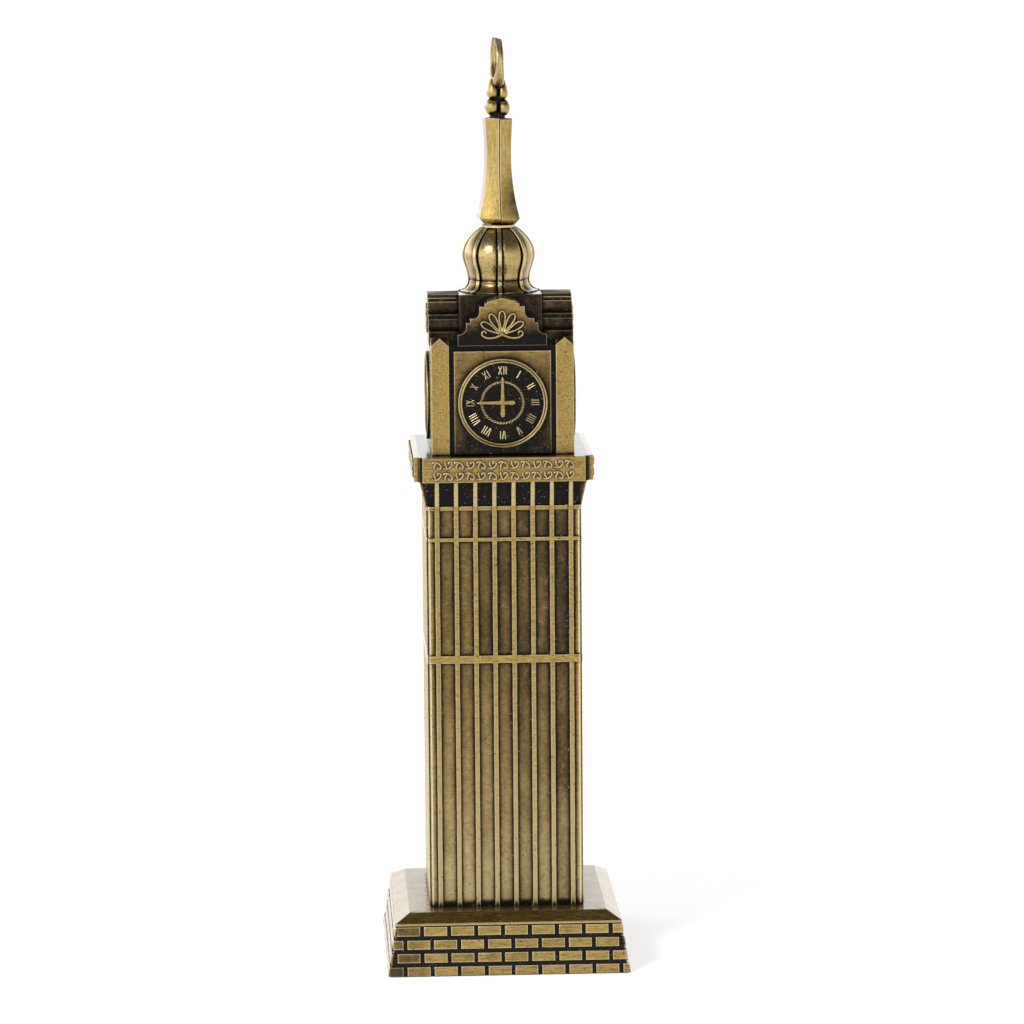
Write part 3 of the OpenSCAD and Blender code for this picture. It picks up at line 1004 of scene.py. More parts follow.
@dataclass
class ShaftPanel:
    """One face of the shaft: eight ribs, two bands, a ledge and brackets that lean out to the cornice."""

    face: Face
    finish: bpy.types.Material
    half: float = 15.05
    rib_out: float = 0.4
    rib_pitch: float = 3.69
    rib_half: float = 0.5
    ribs: int = 8
    back: float = 12.65
    low_band: tuple[float, float] = (60.0, 61.65)
    upper_band: tuple[float, float] = (83.9, 84.75)
    bracket_z: float = 90.4
    bracket_half: float = 16.3
    bracket_h: float = 5.35
    ledge_h: float = 0.85
    ledge_in: float = 0.15
    head_sunk: float = 0.5
    tone_foot_z: float = 12.0
    # Strength of the painted shade on the ground next to each rib.
    rib_side_shade: float = 0.34
    strip_w: float = 0.7
    joint_drop: float = 0.14
    wobble: float = 0.035
    seed: int = 5

    def across(self) -> list[tuple[float, float]]:
        """Stations across the face.

        Returns:
            For each, its place along the face and its share of a rib's height.
        """
        edge = [(-0.56, 0.0), (-0.5, 0.1), (-0.47, 0.72), (-0.39, 0.95), (-0.27, 1.0)]
        profile = edge + [(-u, share) for u, share in reversed(edge)]
        corner = self.half - self.rib_out
        stations = [(-corner, 0.0), (-corner + 0.16, 0.0), (-corner + 0.6, 0.0)]
        for i in range(self.ribs):
            centre = (i - (self.ribs - 1) / 2) * self.rib_pitch
            stations += [(centre + u * 2 * self.rib_half, share) for u, share in profile]
            if i < self.ribs - 1:
                stations += [(centre + self.rib_pitch * share, 0.0) for share in (0.28, 0.5, 0.72)]
        stations += [(corner - 0.6, 0.0), (corner - 0.16, 0.0), (corner, 0.0)]
        return stations

    def levels(self, foot: float, top: float) -> list[tuple[float, float]]:
        """Stations up the face.

        Args:
            foot: height of its foot.
            top: height of its top.

        Returns:
            For each, its height and its share of a band's height.
        """
        marks = []
        for low, high in (self.low_band, self.upper_band,
                          (self.bracket_z - self.ledge_h / 2, self.bracket_z + self.ledge_h / 2)):
            marks += [(low - 0.06, 0.0), (low, 0.15), (low + 0.03, 0.75), (low + 0.12, 1.0),
                      (high - 0.12, 1.0), (high - 0.03, 0.75), (high, 0.15), (high + 0.06, 0.0)]
        stops = [foot] + [z for z, _ in marks] + [top]
        levels = [(foot, 0.0)] + marks + [(top, 0.0)]
        for low, high in zip(stops, stops[1:]):
            gaps = int((high - low) / 1.6)
            levels += [(low + (high - low) * i / (gaps + 1), 0.0) for i in range(1, gaps + 1)
                       if high - low > 2.0]
        return sorted(levels)

    def ring(self, z: float, band: float, stations: list[tuple[float, float]]) -> tuple[Ring, list[float]]:
        """The panel's outline at one height.

        Args:
            z: the height.
            band: share of a band's height there.
            stations: the stations across the face.

        Returns:
            The outline and the patina that each of its points starts from, painted shade and highlights
            included.
        """
        floor = self.half - self.rib_out
        ribs_at = self.half
        in_head = z > self.bracket_z + self.ledge_h / 2 - 0.02
        band_top = self.half
        if z > self.upper_band[1] + 1:
            band_top -= self.ledge_in
        if z > self.bracket_z:
            lean = (z - self.bracket_z) / self.bracket_h
            ribs_at += (self.bracket_half - self.half) * min(1.0, lean)
        if in_head:
            floor -= self.head_sunk
        ring, tones = [], []
        base_tone = self.floor_patina(z)
        corner = self.half - self.rib_out
        squeeze = floor / corner
        for x, share in stations:
            sway = self.wobble * noise.noise(Vector((x * 0.6 + self.seed, z * 0.22, 3.0 * self.face.value)))
            depth = max(floor + share * (ribs_at - floor), floor + band * (band_top - floor))
            place = x + sway
            end_strip = abs(x) > corner - self.strip_w
            if end_strip:
                place = x * squeeze
            if abs(x) > corner - 0.01:
                depth = max(depth, floor) - self.joint_drop
                place = math.copysign(min(abs(place), depth), x)
            ring.append(Vector((place, -depth, z)))
            height = max(share, band)
            if in_head:
                # Painted reflection: the leaning rib backs in the head are drawn bright; the ground there is
                # black patina.
                ground, top = 1.0, -0.35
            else:
                # The strips at the corners are rubbed as bare as the ribs.
                # Painted shade: the ground darkens next to each rib, past the patina in its corner, and
                # towards the face's right, as if lit from the left.
                aside = abs(x / self.rib_pitch % 1 - 0.5) * self.rib_pitch
                rib_side_shade = max(0.0, 1 - (aside - 0.56) / 0.55)
                ground = 0.12 if end_strip else base_tone + 0.14 * x / corner + self.rib_side_shade * rib_side_shade
                # Painted highlight: the edges of ribs and bands are drawn brighter than their backs.
                top = -0.45 if 0.6 < height < 0.97 else 0.02
            fill = height ** 4 if in_head else height
            tones.append(ground * (1 - fill) + top * fill)
        ring += [Vector((self.back, -self.back, z)), Vector((-self.back, -self.back, z))]
        tones += [0.5, 0.5]
        return ring, tones

    def floor_patina(self, z: float) -> float:
        """How dark the panel's ground is: it gets lighter downwards, down to a dark line at the foot.

        Args:
            z: the height.

        Returns:
            The patina that the ground starts from.
        """
        share = (z - self.tone_foot_z) / (self.bracket_z - self.tone_foot_z)
        foot = max(0.0, 1 - (z - self.tone_foot_z) / 1.4)
        return 0.16 + 0.38 * min(1.0, 1.5 * share) + 0.7 * foot

    def build(self) -> bpy.types.Object:
        """Makes the panel.

        Returns:
            The finished piece.
        """
        node = f"shaft_panel_{self.face.label}"
        box = Box.of(node)
        stations = self.across()
        rings, tones = [], []
        for z, band in self.levels(box.low.z, box.high.z):
            ring, tone = self.ring(z, band, stations)
            rings.append(ring)
            tones.append(tone)
        casting = Casting(node.replace("shaft", "ribbed"))
        casting.add(loft(rings, tones), self.face.turn)
        return casting.cast(self.finish, node)


# ---------------------------------------------------------------- cornice


@dataclass
class Cornice:
    """The slab over the shaft, with a chamfered face plate on each side and two rows of leaf scroll."""

    finish: bpy.types.Material
    slab_half: float = 16.35
    plate_half: float = 17.3
    plate_end: float = 15.7
    pocket_half: float = 9.5
    pocket_h: float = 3.0
    spigot_half: float = 12.55
    spigot_h: float = 2.0
    bore_r: float = 1.7
    row_drops: tuple[float, float] = (1.42, 3.55)
    row_reach: float = 14.9
    scroll_pitch: float = 2.13
    scroll_height: float = 0.3
    ground: float = 0.3

    def slab(self, z0: float, z1: float) -> bmesh.types.BMesh:
        """The slab with its spigot below, its pocket above and the bore through it.

        Args:
            z0: height of its underside.
            z1: height of its top.

        Returns:
            The shell.
        """
        outline = [
            (self.bore_r, z0 - self.spigot_h, self.bore_r), (self.spigot_half, z0 - self.spigot_h, 0.2),
            (self.spigot_half, z0, 0.2), (self.slab_half, z0, 0.2), (self.slab_half, z1, 0.2),
            (self.pocket_half, z1, 0.2), (self.pocket_half, z1 - self.pocket_h, 0.2),
            (self.bore_r, z1 - self.pocket_h, self.bore_r),
        ]
        rings = [square_ring(half, corner, z) for half, z, corner in outline]
        tones = [0.8, 0.8, 0.8, 0.9, 0.9, 0.3, 0.8, 0.8]
        return loft(rings, tones, looped=True, bevel=0.12)

    def plate(self, z0: float, z1: float) -> bmesh.types.BMesh:
        """The front face plate with its chamfered ends.

        Args:
            z0: height of its foot.
            z1: height of its top.

        Returns:
            The shell.
        """
        low = self.slab_half - 0.4
        end = self.plate_end
        corners = [(-end, -low), (-end, -self.plate_half), (end, -self.plate_half), (end, -low)]
        rings = [[Vector((x, y, z)) for x, y in corners] for z in (z0, z1)]
        return loft(rings, 0.06, bevel=0.16, segments=3)

    def scroll(self, casting: Casting, place: Callable[[float], Matrix], flip: float) -> None:
        """One row of a running leaf scroll.

        Args:
            casting: the casting it belongs to.
            place: gives the placing matrix for a distance along the face.
            flip: 1 or -1, the side on which the row begins.
        """
        count = int(2 * self.row_reach / self.scroll_pitch)
        for i in range(count):
            x = (i - (count - 1) / 2) * self.scroll_pitch
            side = flip * (1 if i % 2 else -1)
            stem = bezier([(-1.05, -0.42 * side), (-0.45, -0.95 * side), (0.35, -0.55 * side),
                           (0.62, 0.18 * side)], 9)
            curl = bezier([(0.62, 0.18 * side), (0.72, 0.78 * side), (-0.05, 0.86 * side),
                           (-0.12, 0.3 * side)], 8)
            path = stem + curl[1:]
            widths = [0.2 + 0.2 * math.sin(math.pi * j / (len(path) - 1)) for j in range(len(path))]
            casting.add(ridge(path, widths, self.scroll_height, self.ground), place(x), layer=5)
            leaf = bezier([(-0.2, -0.62 * side), (-0.62, -0.2 * side), (-0.78, 0.28 * side),
                           (-0.66, 0.72 * side)], 7)
            leaf_widths = [0.12 + 0.34 * math.sin(math.pi * j / 7) for j in range(8)]
            casting.add(ridge(leaf, leaf_widths, self.scroll_height, self.ground), place(x), layer=6)
            bead = dome_bead((0.2, 0.34 * side), 0.2, self.scroll_height, self.ground)
            casting.add(bead, place(x), layer=7)

    def build(self) -> bpy.types.Object:
        """Makes the cornice.

        Returns:
            The finished piece.
        """
        z0 = Box.of("shaft_panel_front").high.z
        z1 = Box.of("cornice_slab").high.z
        casting = Casting("cornice")
        casting.add(self.slab(z0, z1))
        for face in Face:
            casting.add(self.plate(z0, z1), face.turn, layer=1 + face.value)
            for flip, drop in zip((1, -1), self.row_drops):
                self.scroll(casting, lambda x, f=face, d=drop: stand(f, self.plate_half, z1 - d, x=x), flip)
        return casting.cast(self.finish, "cornice_slab")


# ---------------------------------------------------------------- clock head


@dataclass
class ClockCase:
    """The hollow case behind the dials, with four corner posts that end in crossing pointed boards."""

    finish: bpy.types.Material
    half: float = 12.4
    cavity_half: float = 10.9
    wall: float = 1.5
    bore_r: float = 1.7
    post_w: float = 3.5
    head_half: float = 13.75
    tip: float = 1.5

    def case(self, z0: float, z1: float) -> bmesh.types.BMesh:
        """The hollow case.

        Args:
            z0: height of its foot.
            z1: height of its top.

        Returns:
            The shell.
        """
        outline = [(self.half, z0, 0.2), (self.half, z1, 0.2), (self.bore_r, z1, self.bore_r),
                   (self.bore_r, z1 - self.wall, self.bore_r), (self.cavity_half, z1 - self.wall, 0.4),
                   (self.cavity_half, z0, 0.4)]
        rings = [square_ring(half, corner, z) for half, z, corner in outline]
        return loft(rings, 1.15, looped=True, bevel=0.1)

    def post(self, z0: float, z1: float) -> bmesh.types.BMesh:
        """A square post whose top is a cross of two roofs, centred on the axis.

        Args:
            z0: height of its foot.
            z1: height of its shoulders.

        Returns:
            The shell.
        """
        shell = bmesh.new()
        layer = shell.verts.layers.float.new(PATINA_AND_PAINTED_LIGHT)
        h = self.post_w / 2
        corners = [(-h, -h), (h, -h), (h, h), (-h, h)]
        middles = [(0, -h), (h, 0), (0, h), (-h, 0)]
        foot = [shell.verts.new((x, y, z0)) for x, y in corners]
        shoulders = [shell.verts.new((x, y, z1)) for x, y in corners]
        tips = [shell.verts.new((x, y, z1 + self.tip)) for x, y in middles]
        middle = shell.verts.new((0, 0, z1 + self.tip))
        for vert in shell.verts:
            vert[layer] = 0.02
        for vert in (middle, tips[0], tips[3]):
            vert[layer] = 1.0
        shell.faces.new(reversed(foot))
        for i in range(4):
            j = (i + 1) % 4
            shell.faces.new((foot[i], foot[j], shoulders[j], tips[i], shoulders[i]))
            shell.faces.new((shoulders[i], tips[i], middle))
            shell.faces.new((tips[i], shoulders[j], middle))
        bmesh.ops.recalc_face_normals(shell, faces=shell.faces)
        round_edges(shell, 0.14, 3, 20.0)
        return shell

    def build(self) -> bpy.types.Object:
        """Makes the case.

        Returns:
            The finished piece.
        """
        z0 = Box.of("clock_case").low.z
        z1 = Box.of("clock_case").high.z - self.tip
        casting = Casting("clock_case_casting")
        casting.add(self.case(z0, z1))
        offset = self.head_half - self.post_w / 2
        for face in Face:
            casting.add(self.post(z0, z1), face.turn @ Matrix.Translation((offset, offset, 0)), layer=1)
        return casting.cast(self.finish, "clock_case")


@dataclass
class DialPanel:
    """One clock face: a plate with a sunk dial, a double rim, a roped ring, Roman hours and two hands."""

    face: Face
    finish: bpy.types.Material
    front: float = 13.85
    dial_z: float = 110.7
    rim_r: float = 8.65
    dial_r: float = 7.8
    sunk: float = 0.55
    hours_r: tuple[float, float] = (5.5, 7.05)
    stroke: float = 0.27
    relief: float = 0.34
    rope_r: float = 4.0
    rope_w: float = 0.58
    rope_twists: int = 44
    rope_steps: int = 8
    sides: int = 96

    def plate_ring(self, half_w: float, z0: float, z1: float, y: float) -> Ring:
        """The plate's outline with as many points as the dial's rings have.

        Args:
            half_w: half its width.
            z0: height of its foot.
            z1: height of its top.
            y: its place along Y.

        Returns:
            The points, from the lower right.
        """
        corners = [(half_w, z0), (half_w, z1), (-half_w, z1), (-half_w, z0)]
        per_side = self.sides // 4
        points = []
        for k in range(4):
            ax, az = corners[k]
            bx, bz = corners[(k + 1) % 4]
            for i in range(per_side):
                t = i / per_side
                points.append(Vector((ax + (bx - ax) * t, y, az + (bz - az) * t)))
        return points

    def round_ring(self, r: float, y: float) -> Ring:
        """A circle round the dial's centre.

        Args:
            r: its radius.
            y: its place along Y.

        Returns:
            The points, from the lower right.
        """
        points = []
        for i in range(self.sides):
            angle = math.tau * i / self.sides - math.pi / 4
            points.append(Vector((r * math.cos(angle), y, self.dial_z + r * math.sin(angle))))
        return points

    def plate(self, half_w: float, z0: float, z1: float, back: float) -> bmesh.types.BMesh:
        """The plate with its rim and its sunk dial.

        Args:
            half_w: half its width.
            z0: height of its foot.
            z1: height of its top.
            back: its back's distance from the axis.

        Returns:
            The shell.
        """
        y = -self.front
        edge = 0.13
        rings = [self.plate_ring(half_w, z0, z1, -back), self.plate_ring(half_w, z0, z1, y + edge),
                 self.plate_ring(half_w - 0.3 * edge, z0 + 0.3 * edge, z1 - 0.3 * edge, y + 0.3 * edge),
                 self.plate_ring(half_w - edge, z0 + edge, z1 - edge, y)]
        tones = [1.0, 0.7, 0.2, 0.3]
        # Each station of the rim has its radius, its place behind the plate's face and its patina.
        rim = [
            (self.rim_r + 0.12, 0.0, 0.55), (self.rim_r + 0.02, -0.06, 0.6), (self.rim_r, -0.4, 0.3),
            (self.rim_r - 0.07, -0.56, 0.0), (self.rim_r - 0.2, -0.6, 0.0), (self.rim_r - 0.33, -0.54, 0.1),
            (self.rim_r - 0.42, -0.47, 0.55),
            (self.rim_r - 0.51, -0.54, 0.1), (self.rim_r - 0.64, -0.6, 0.0), (self.rim_r - 0.77, -0.56, 0.0),
            (self.dial_r + 0.02, -0.4, 0.4), (self.dial_r, self.sunk - 0.08, 1.0),
            (self.dial_r - 0.08, self.sunk, 1.0), (self.rope_r, self.sunk, 1.0), (0.6, self.sunk, 1.0),
        ]
        rings += [self.round_ring(r, y + behind) for r, behind, _ in rim]
        tones += [tone for _, _, tone in rim]
        face = y + self.sunk / 2
        # The plate gets darker downwards.
        return shade(loft(rings, tones), lambda spot: (
            0.52 * (z1 - spot.z) / (z1 - z0) if y - 0.1 < spot.y < face else 0.0))

    def rope(self) -> bmesh.types.BMesh:
        """The inner ring, its back cut like a twisted cord, drawn flat.

        Returns:
            The shell.
        """
        around = self.rope_twists * self.rope_steps
        section = [(-0.5, -SUNK), (-0.46, 0.5), (-0.25, 0.92), (0.0, 1.0), (0.25, 0.92), (0.46, 0.5),
                   (0.5, -SUNK)]
        rings, tones = [], []
        for i in range(around):
            angle = math.tau * i / around
            ring, tone = [], []
            for u, h in section:
                cut = 0.5 + 0.5 * math.cos(self.rope_twists * angle + 4.0 * u)
                level = self.relief * h * (1 - 0.5 * cut) if h > 0 else h
                r = self.rope_r + self.rope_w * u
                ring.append(Vector((r * math.cos(angle), r * math.sin(angle), level)))
                tone.append(1.0 if h < 0 else 0.75 * cut ** 2)
            rings.append(ring)
            tones.append(tone)
        return loft(rings, tones, looped=True)

    @staticmethod
    def numeral_strokes(text: str) -> list[tuple[float, float, float]]:
        """Breaks a Roman numeral into strokes.

        Args:
            text: the numeral.

        Returns:
            Each stroke as (middle, offset at its top, offset at its foot).
        """
        widths = {"I": 0.44, "V": 0.95, "X": 0.98}
        strokes = []
        x = 0.0
        for letter in text:
            w = widths[letter]
            middle = x + w / 2
            lean = w / 2 - 0.18
            if letter == "I":
                strokes.append((middle, 0.0, 0.0))
            elif letter == "V":
                strokes += [(middle, -lean, -0.08), (middle, lean, 0.08)]
            else:
                strokes += [(middle, -lean, lean), (middle, lean, -lean)]
            x += w
        return [(m - x / 2, a, b) for m, a, b in strokes]

    def hours(self, casting: Casting, ground: float) -> None:
        """Sets the twelve hours round the dial, their tops outwards.

        Args:
            casting: the casting they belong to.
            ground: the dial floor's distance from the axis.
        """
        numerals = ["XII", "I", "II", "III", "IIII", "V", "VI", "VII", "VIII", "IX", "X", "XI"]
        inner, outer = self.hours_r
        for hour, text in enumerate(numerals):
            strokes = self.numeral_strokes(text)
            place = stand(self.face, ground, self.dial_z, math.tau * hour / 12)
            for i, (middle, top, foot) in enumerate(strokes):
                path = [(middle + foot, inner), (middle + (foot + top) / 2, (inner + outer) / 2),
                        (middle + top, outer)]
                casting.add(ridge(path, self.stroke, self.relief), place, layer=2 + i % 2)

    def hands(self, casting: Casting, ground: float) -> None:
        """Sets the two hands, at nine o'clock, with their hub.

        Args:
            casting: the casting they belong to.
            ground: the dial floor's distance from the axis.
        """
        rise = self.sunk - 0.03
        for spin, tail, layer in ((0.0, 2.75, 4), (math.tau * 0.75, 2.35, 5)):
            # From the rounded tail past the hub to the barbed tip, each as (distance, width).
            stations = [(-tail, 0.35), (-tail + 0.18, 0.95), (-tail + 0.5, 1.25), (-1.2, 1.0), (0.0, 0.95),
                        (2.0, 0.8), (3.9, 0.62), (4.05, 0.5), (4.25, 0.85), (4.6, 0.5), (4.95, 0.12)]
            path = [(0.0, along) for along, _ in stations]
            widths = [width for _, width in stations]
            casting.add(ridge(path, widths, rise), stand(self.face, ground, self.dial_z, spin), layer=layer)
        casting.add(dome_bead((0.0, 0.0), 0.78, rise + 0.1, sides=20), stand(self.face, ground, self.dial_z),
                    layer=6)

    def build(self) -> bpy.types.Object:
        """Makes the clock face.

        Returns:
            The finished piece.
        """
        node = f"dial_panel_{self.face.label}"
        box = Box.of("dial_panel_front")
        casting = Casting(f"clock_face_{self.face.label}")
        casting.add(self.plate(box.high.x, box.low.z, box.high.z, -box.high.y), self.face.turn)
        ground = self.front - self.sunk
        casting.add(self.rope(), stand(self.face, ground, self.dial_z), layer=1)
        self.hours(casting, ground)
        self.hands(casting, ground)
        return casting.cast(self.finish, node)


# ---------------------------------------------------------------- roof


@dataclass
class Roof:
    """Four scalloped gables on crossing arms, the square block under the dome and a shell on each gable."""

    finish: bpy.types.Material
    half: float = 8.55
    block_half: float = 8.0
    relief: float = 0.3
    petals: int = 5
    petal_lean: float = 29.0
    petal_foot: float = 0.7
    petal_length: float = 4.0
    petal_half: float = 0.84
    petal_stroke: float = 0.36
    volute_end: float = 3.9

    def half_outline(self, foot: float, height: float) -> list[tuple[float, float]]:
        """The gable's outline on one side, from its foot up.

        Args:
            foot: height of the gable's foot.
            height: height of the gable.

        Returns:
            The points as (half width, height).
        """
        w = self.half
        shoulder = (0.81 * w, 0.36 * height)
        scallop = (0.63 * w, 0.57 * height)
        neck = (0.51 * w, 0.71 * height)
        points = [(w, 0.0), (w, 0.235 * height)]
        points += [(w + (w - shoulder[0]) * math.cos(a), shoulder[1] + 0.125 * height * math.sin(a))
                   for a in (math.radians(270 - 15 * i) for i in range(1, 7))]
        points += [(shoulder[0], 0.48 * height), (0.72 * w, 0.48 * height), (0.72 * w, scallop[1]), scallop]
        points += [(scallop[0] + (scallop[0] - neck[0]) * math.cos(a),
                    neck[1] + (neck[1] - scallop[1]) * math.sin(a))
                   for a in (math.radians(270 - 15 * i) for i in range(1, 7))]
        points += [(neck[0], 0.82 * height), (0.39 * w, 0.82 * height), (0.39 * w, 0.89 * height)]
        points += [(0.2 * w + 0.14 * w * math.cos(a), 0.89 * height + 0.06 * height * math.sin(a))
                   for a in (math.radians(15 * i) for i in range(7))]
        return [(x, foot + z) for x, z in points]

    def arm(self, foot: float, height: float, span_half: float) -> bmesh.types.BMesh:
        """One bar with the gable's outline, from front to back.

        Args:
            foot: height of its foot.
            height: its own height.
            span_half: its ends' distance from the axis.

        Returns:
            The shell.
        """
        side = self.half_outline(foot, height)
        outline = side + [(0.0, foot + height)] + [(-x, z) for x, z in reversed(side)]
        bar = prism(outline, -span_half, span_half, 0.1, 0.85, 0.1)
        return shade(bar, lambda spot: (
            1.3 * max(0.0, 1 - (spot.z - foot) / (0.85 * height)) if abs(spot.y) > span_half - 0.02 else
            -1.4 * max(0.0, (spot.z - foot) / height - 0.72)))

    def shell_ornament(self, casting: Casting, face: Face, span_half: float, foot: float) -> None:
        """A shell of outlined petals over two small volutes.

        Args:
            casting: the casting it belongs to.
            face: the gable it is on.
            span_half: the gable's distance from the axis.
            foot: height of the gable's foot.
        """
        place = stand(face, span_half, foot + 2.0)
        for i in range(self.petals):
            lean = math.radians(self.petal_lean * (i - (self.petals - 1) / 2))
            along = Vector((math.sin(lean), math.cos(lean)))
            across = Vector((along.y, -along.x))
            loop = []
            for j in range(25):
                a = math.tau * j / 24
                far = self.petal_foot + self.petal_length / 2 * (1 - math.cos(a))
                wide = self.petal_half * math.sin(a) * math.sin(a / 2) ** 1.4
                loop.append(tuple(along * far + across * wide))
            casting.add(ridge(loop, self.petal_stroke, self.relief, 0.7), place, layer=6 + i % 2)
        for side in (-1, 1):
            turn = (self.volute_end * side, 0.1)
            path = bezier([(0.1 * side, 0.2), (1.5 * side, -0.75), (3.3 * side, -0.7), turn], 9)
            path += bezier([turn, (4.2 * side, 0.95), (3.1 * side, 1.1), (3.1 * side, 0.4)], 6)[1:]
            widths = [0.48 - 0.2 * j / (len(path) - 1) for j in range(len(path))]
            casting.add(ridge(path, widths, self.relief, 0.9), place, layer=8)
        casting.add(dome_bead((0.0, 0.25), 0.5, self.relief + 0.06, 0.9, sides=16), place, layer=9)

    def build(self) -> bpy.types.Object:
        """Makes the roof.

        Returns:
            The finished piece.
        """
        box = Box.of("roof_block")
        foot, top, span_half = box.low.z, box.high.z, box.high.x
        height = top - foot
        casting = Casting("gabled_roof")
        casting.add(self.arm(foot, height, span_half))
        casting.add(self.arm(foot, height, span_half), Face.RIGHT.turn, layer=1)
        rings = [square_ring(half, corner, z) for half, z, corner in (
            (self.block_half, foot, 0.25), (self.block_half, top, 0.25))]
        casting.add(loft(rings, 0.85, bevel=0.16, segments=3), layer=2)
        for face in Face:
            self.shell_ornament(casting, face, span_half, foot)
        return casting.cast(self.finish, "roof_block")


# ---------------------------------------------------------------- dome and spire


@dataclass
class Dome:
    """The onion dome: a spreading foot, a crease at its waist, eight ribs and glossy lobes between them."""

    finish: bpy.types.Material
    foot_r: float = 7.65
    waist_r: float = 5.75
    waist_z: float = 133.3
    belly_z: float = 138.0
    belly_r: float = 6.8
    collar_r: float = 3.2
    collar_h: float = 0.6
    cavity: tuple[float, float] = (3.8, 8.0)
    socket: tuple[float, float] = (1.35, 2.0)
    ribs: int = 8
    rib_half: float = 0.4
    rib_out: float = 0.3
    groove: float = 0.28

    def profile(self, z0: float, z1: float) -> list[tuple[float, float, float]]:
        """The dome's outline without its ribs.

        Args:
            z0: height of its foot.
            z1: height of its top.

        Returns:
            Each point as (radius, height, patina).
        """
        points = [(self.foot_r, z0, 0.9), (self.foot_r, z0 + 0.25, 0.6)]
        for i in range(1, 9):
            a = math.radians(270 - 90 * i / 8)
            points.append((self.foot_r + (self.foot_r - self.waist_r) * math.cos(a),
                           self.waist_z - 0.12 + (self.waist_z - 0.12 - z0 - 0.25) * math.sin(a),
                           0.28 if i < 7 else 0.5))
        points.append((self.waist_r - 0.08, self.waist_z, 0.9))
        for i in range(1, 13):
            t = i / 12
            points.append((self.waist_r + (self.belly_r - self.waist_r) * (t * t * (3 - 2 * t)) ** 1.1,
                           self.waist_z + (self.belly_z - self.waist_z) * t, 0.3 if i < 2 else 0.02))
        top = z1 - self.collar_h
        for i in range(1, 17):
            t = math.sin(math.pi / 2 * i / 16)
            points.append((self.collar_r + (self.belly_r - self.collar_r) * max(0.0, 1 - t * t) ** 0.9,
                           self.belly_z + (top - self.belly_z) * t, 0.02 + 0.85 * max(0.0, (i - 9) / 7)))
        points += [(self.collar_r + 0.12, top + 0.05, -0.6), (self.collar_r + 0.12, z1 - 0.15, -0.3),
                   (self.collar_r, z1, 0.9)]
        return points

    def ring(self, r: float, z: float, ribbed: bool) -> Ring:
        """One ring of the dome.

        Args:
            r: its radius without ribs.
            z: its height.
            ribbed: whether it has ribs and lobes.

        Returns:
            The points.
        """
        angles = []
        half = self.rib_half / max(r, 0.5)
        bay = math.tau / self.ribs
        rib = [(-1.35, -1.0), (-1.08, -0.9), (-1.0, 0.1), (-0.8, 0.9), (-0.4, 1.0),
               (0.4, 1.0), (0.8, 0.9), (1.0, 0.1), (1.08, -0.9), (1.35, -1.0)]
        for i in range(self.ribs):
            middle = i * bay - math.pi / 2
            for u, level in rib:
                angles.append((middle + u * half, level))
            start, stop = 1.35 * half, bay - 1.35 * half
            for j in range(1, 9):
                t = j / 9
                bulge = -1.0 + 1.0 * min(1.0, 2.6 * math.sin(math.pi * t) ** 0.8)
                angles.append((middle + start + (stop - start) * t, bulge))
        points = []
        for angle, level in angles:
            out = 0.0
            if ribbed:
                out = self.rib_out * level if level > 0 else self.groove * level
            points.append(Vector(((r + out) * math.cos(angle), (r + out) * math.sin(angle), z)))
        return points

    def build(self) -> bpy.types.Object:
        """Makes the dome.

        Returns:
            The finished piece.
        """
        box = Box.of("dome")
        z0, z1 = box.low.z, box.high.z
        cavity_r, cavity_h = self.cavity
        rings = [self.ring(0.4, z0 + cavity_h, False), self.ring(cavity_r, z0 + cavity_h, False),
                 self.ring(cavity_r, z0, False)]
        tones = [0.9, 0.9, 0.9]
        for r, z, tone in self.profile(z0, z1):
            rings.append(self.ring(r, z, z < z1 - self.collar_h + 0.01))
            tones.append(tone)
        rings += [self.ring(self.socket[0], z1, False), self.ring(self.socket[0], z1 - self.socket[1], False),
                  self.ring(0.3, z1 - self.socket[1], False)]
        tones += [0.9, 0.9, 0.9]
        rows = []
        for ring, tone in zip(rings, tones):
            reach = max(spot.to_2d().length for spot in ring)
            below = [reach - spot.to_2d().length for spot in ring]
            if tone < 0.9 and max(below) > 0.3:
                # The ribs' backs are rubbed bright and the grooves beside them stay black.
                rows.append([-0.45 if gap < 0.12 else tone + 0.7 if gap > 0.4 else tone for gap in below])
            else:
                rows.append([tone] * len(ring))
        casting = Casting("onion_dome")
        casting.add(loft(rings, rows))
        return casting.cast(self.finish, "dome")


class Half(Enum):
    """The two castings that the spire is split into, with the sign of the side that each is on."""

    LEFT = -1
    RIGHT = 1


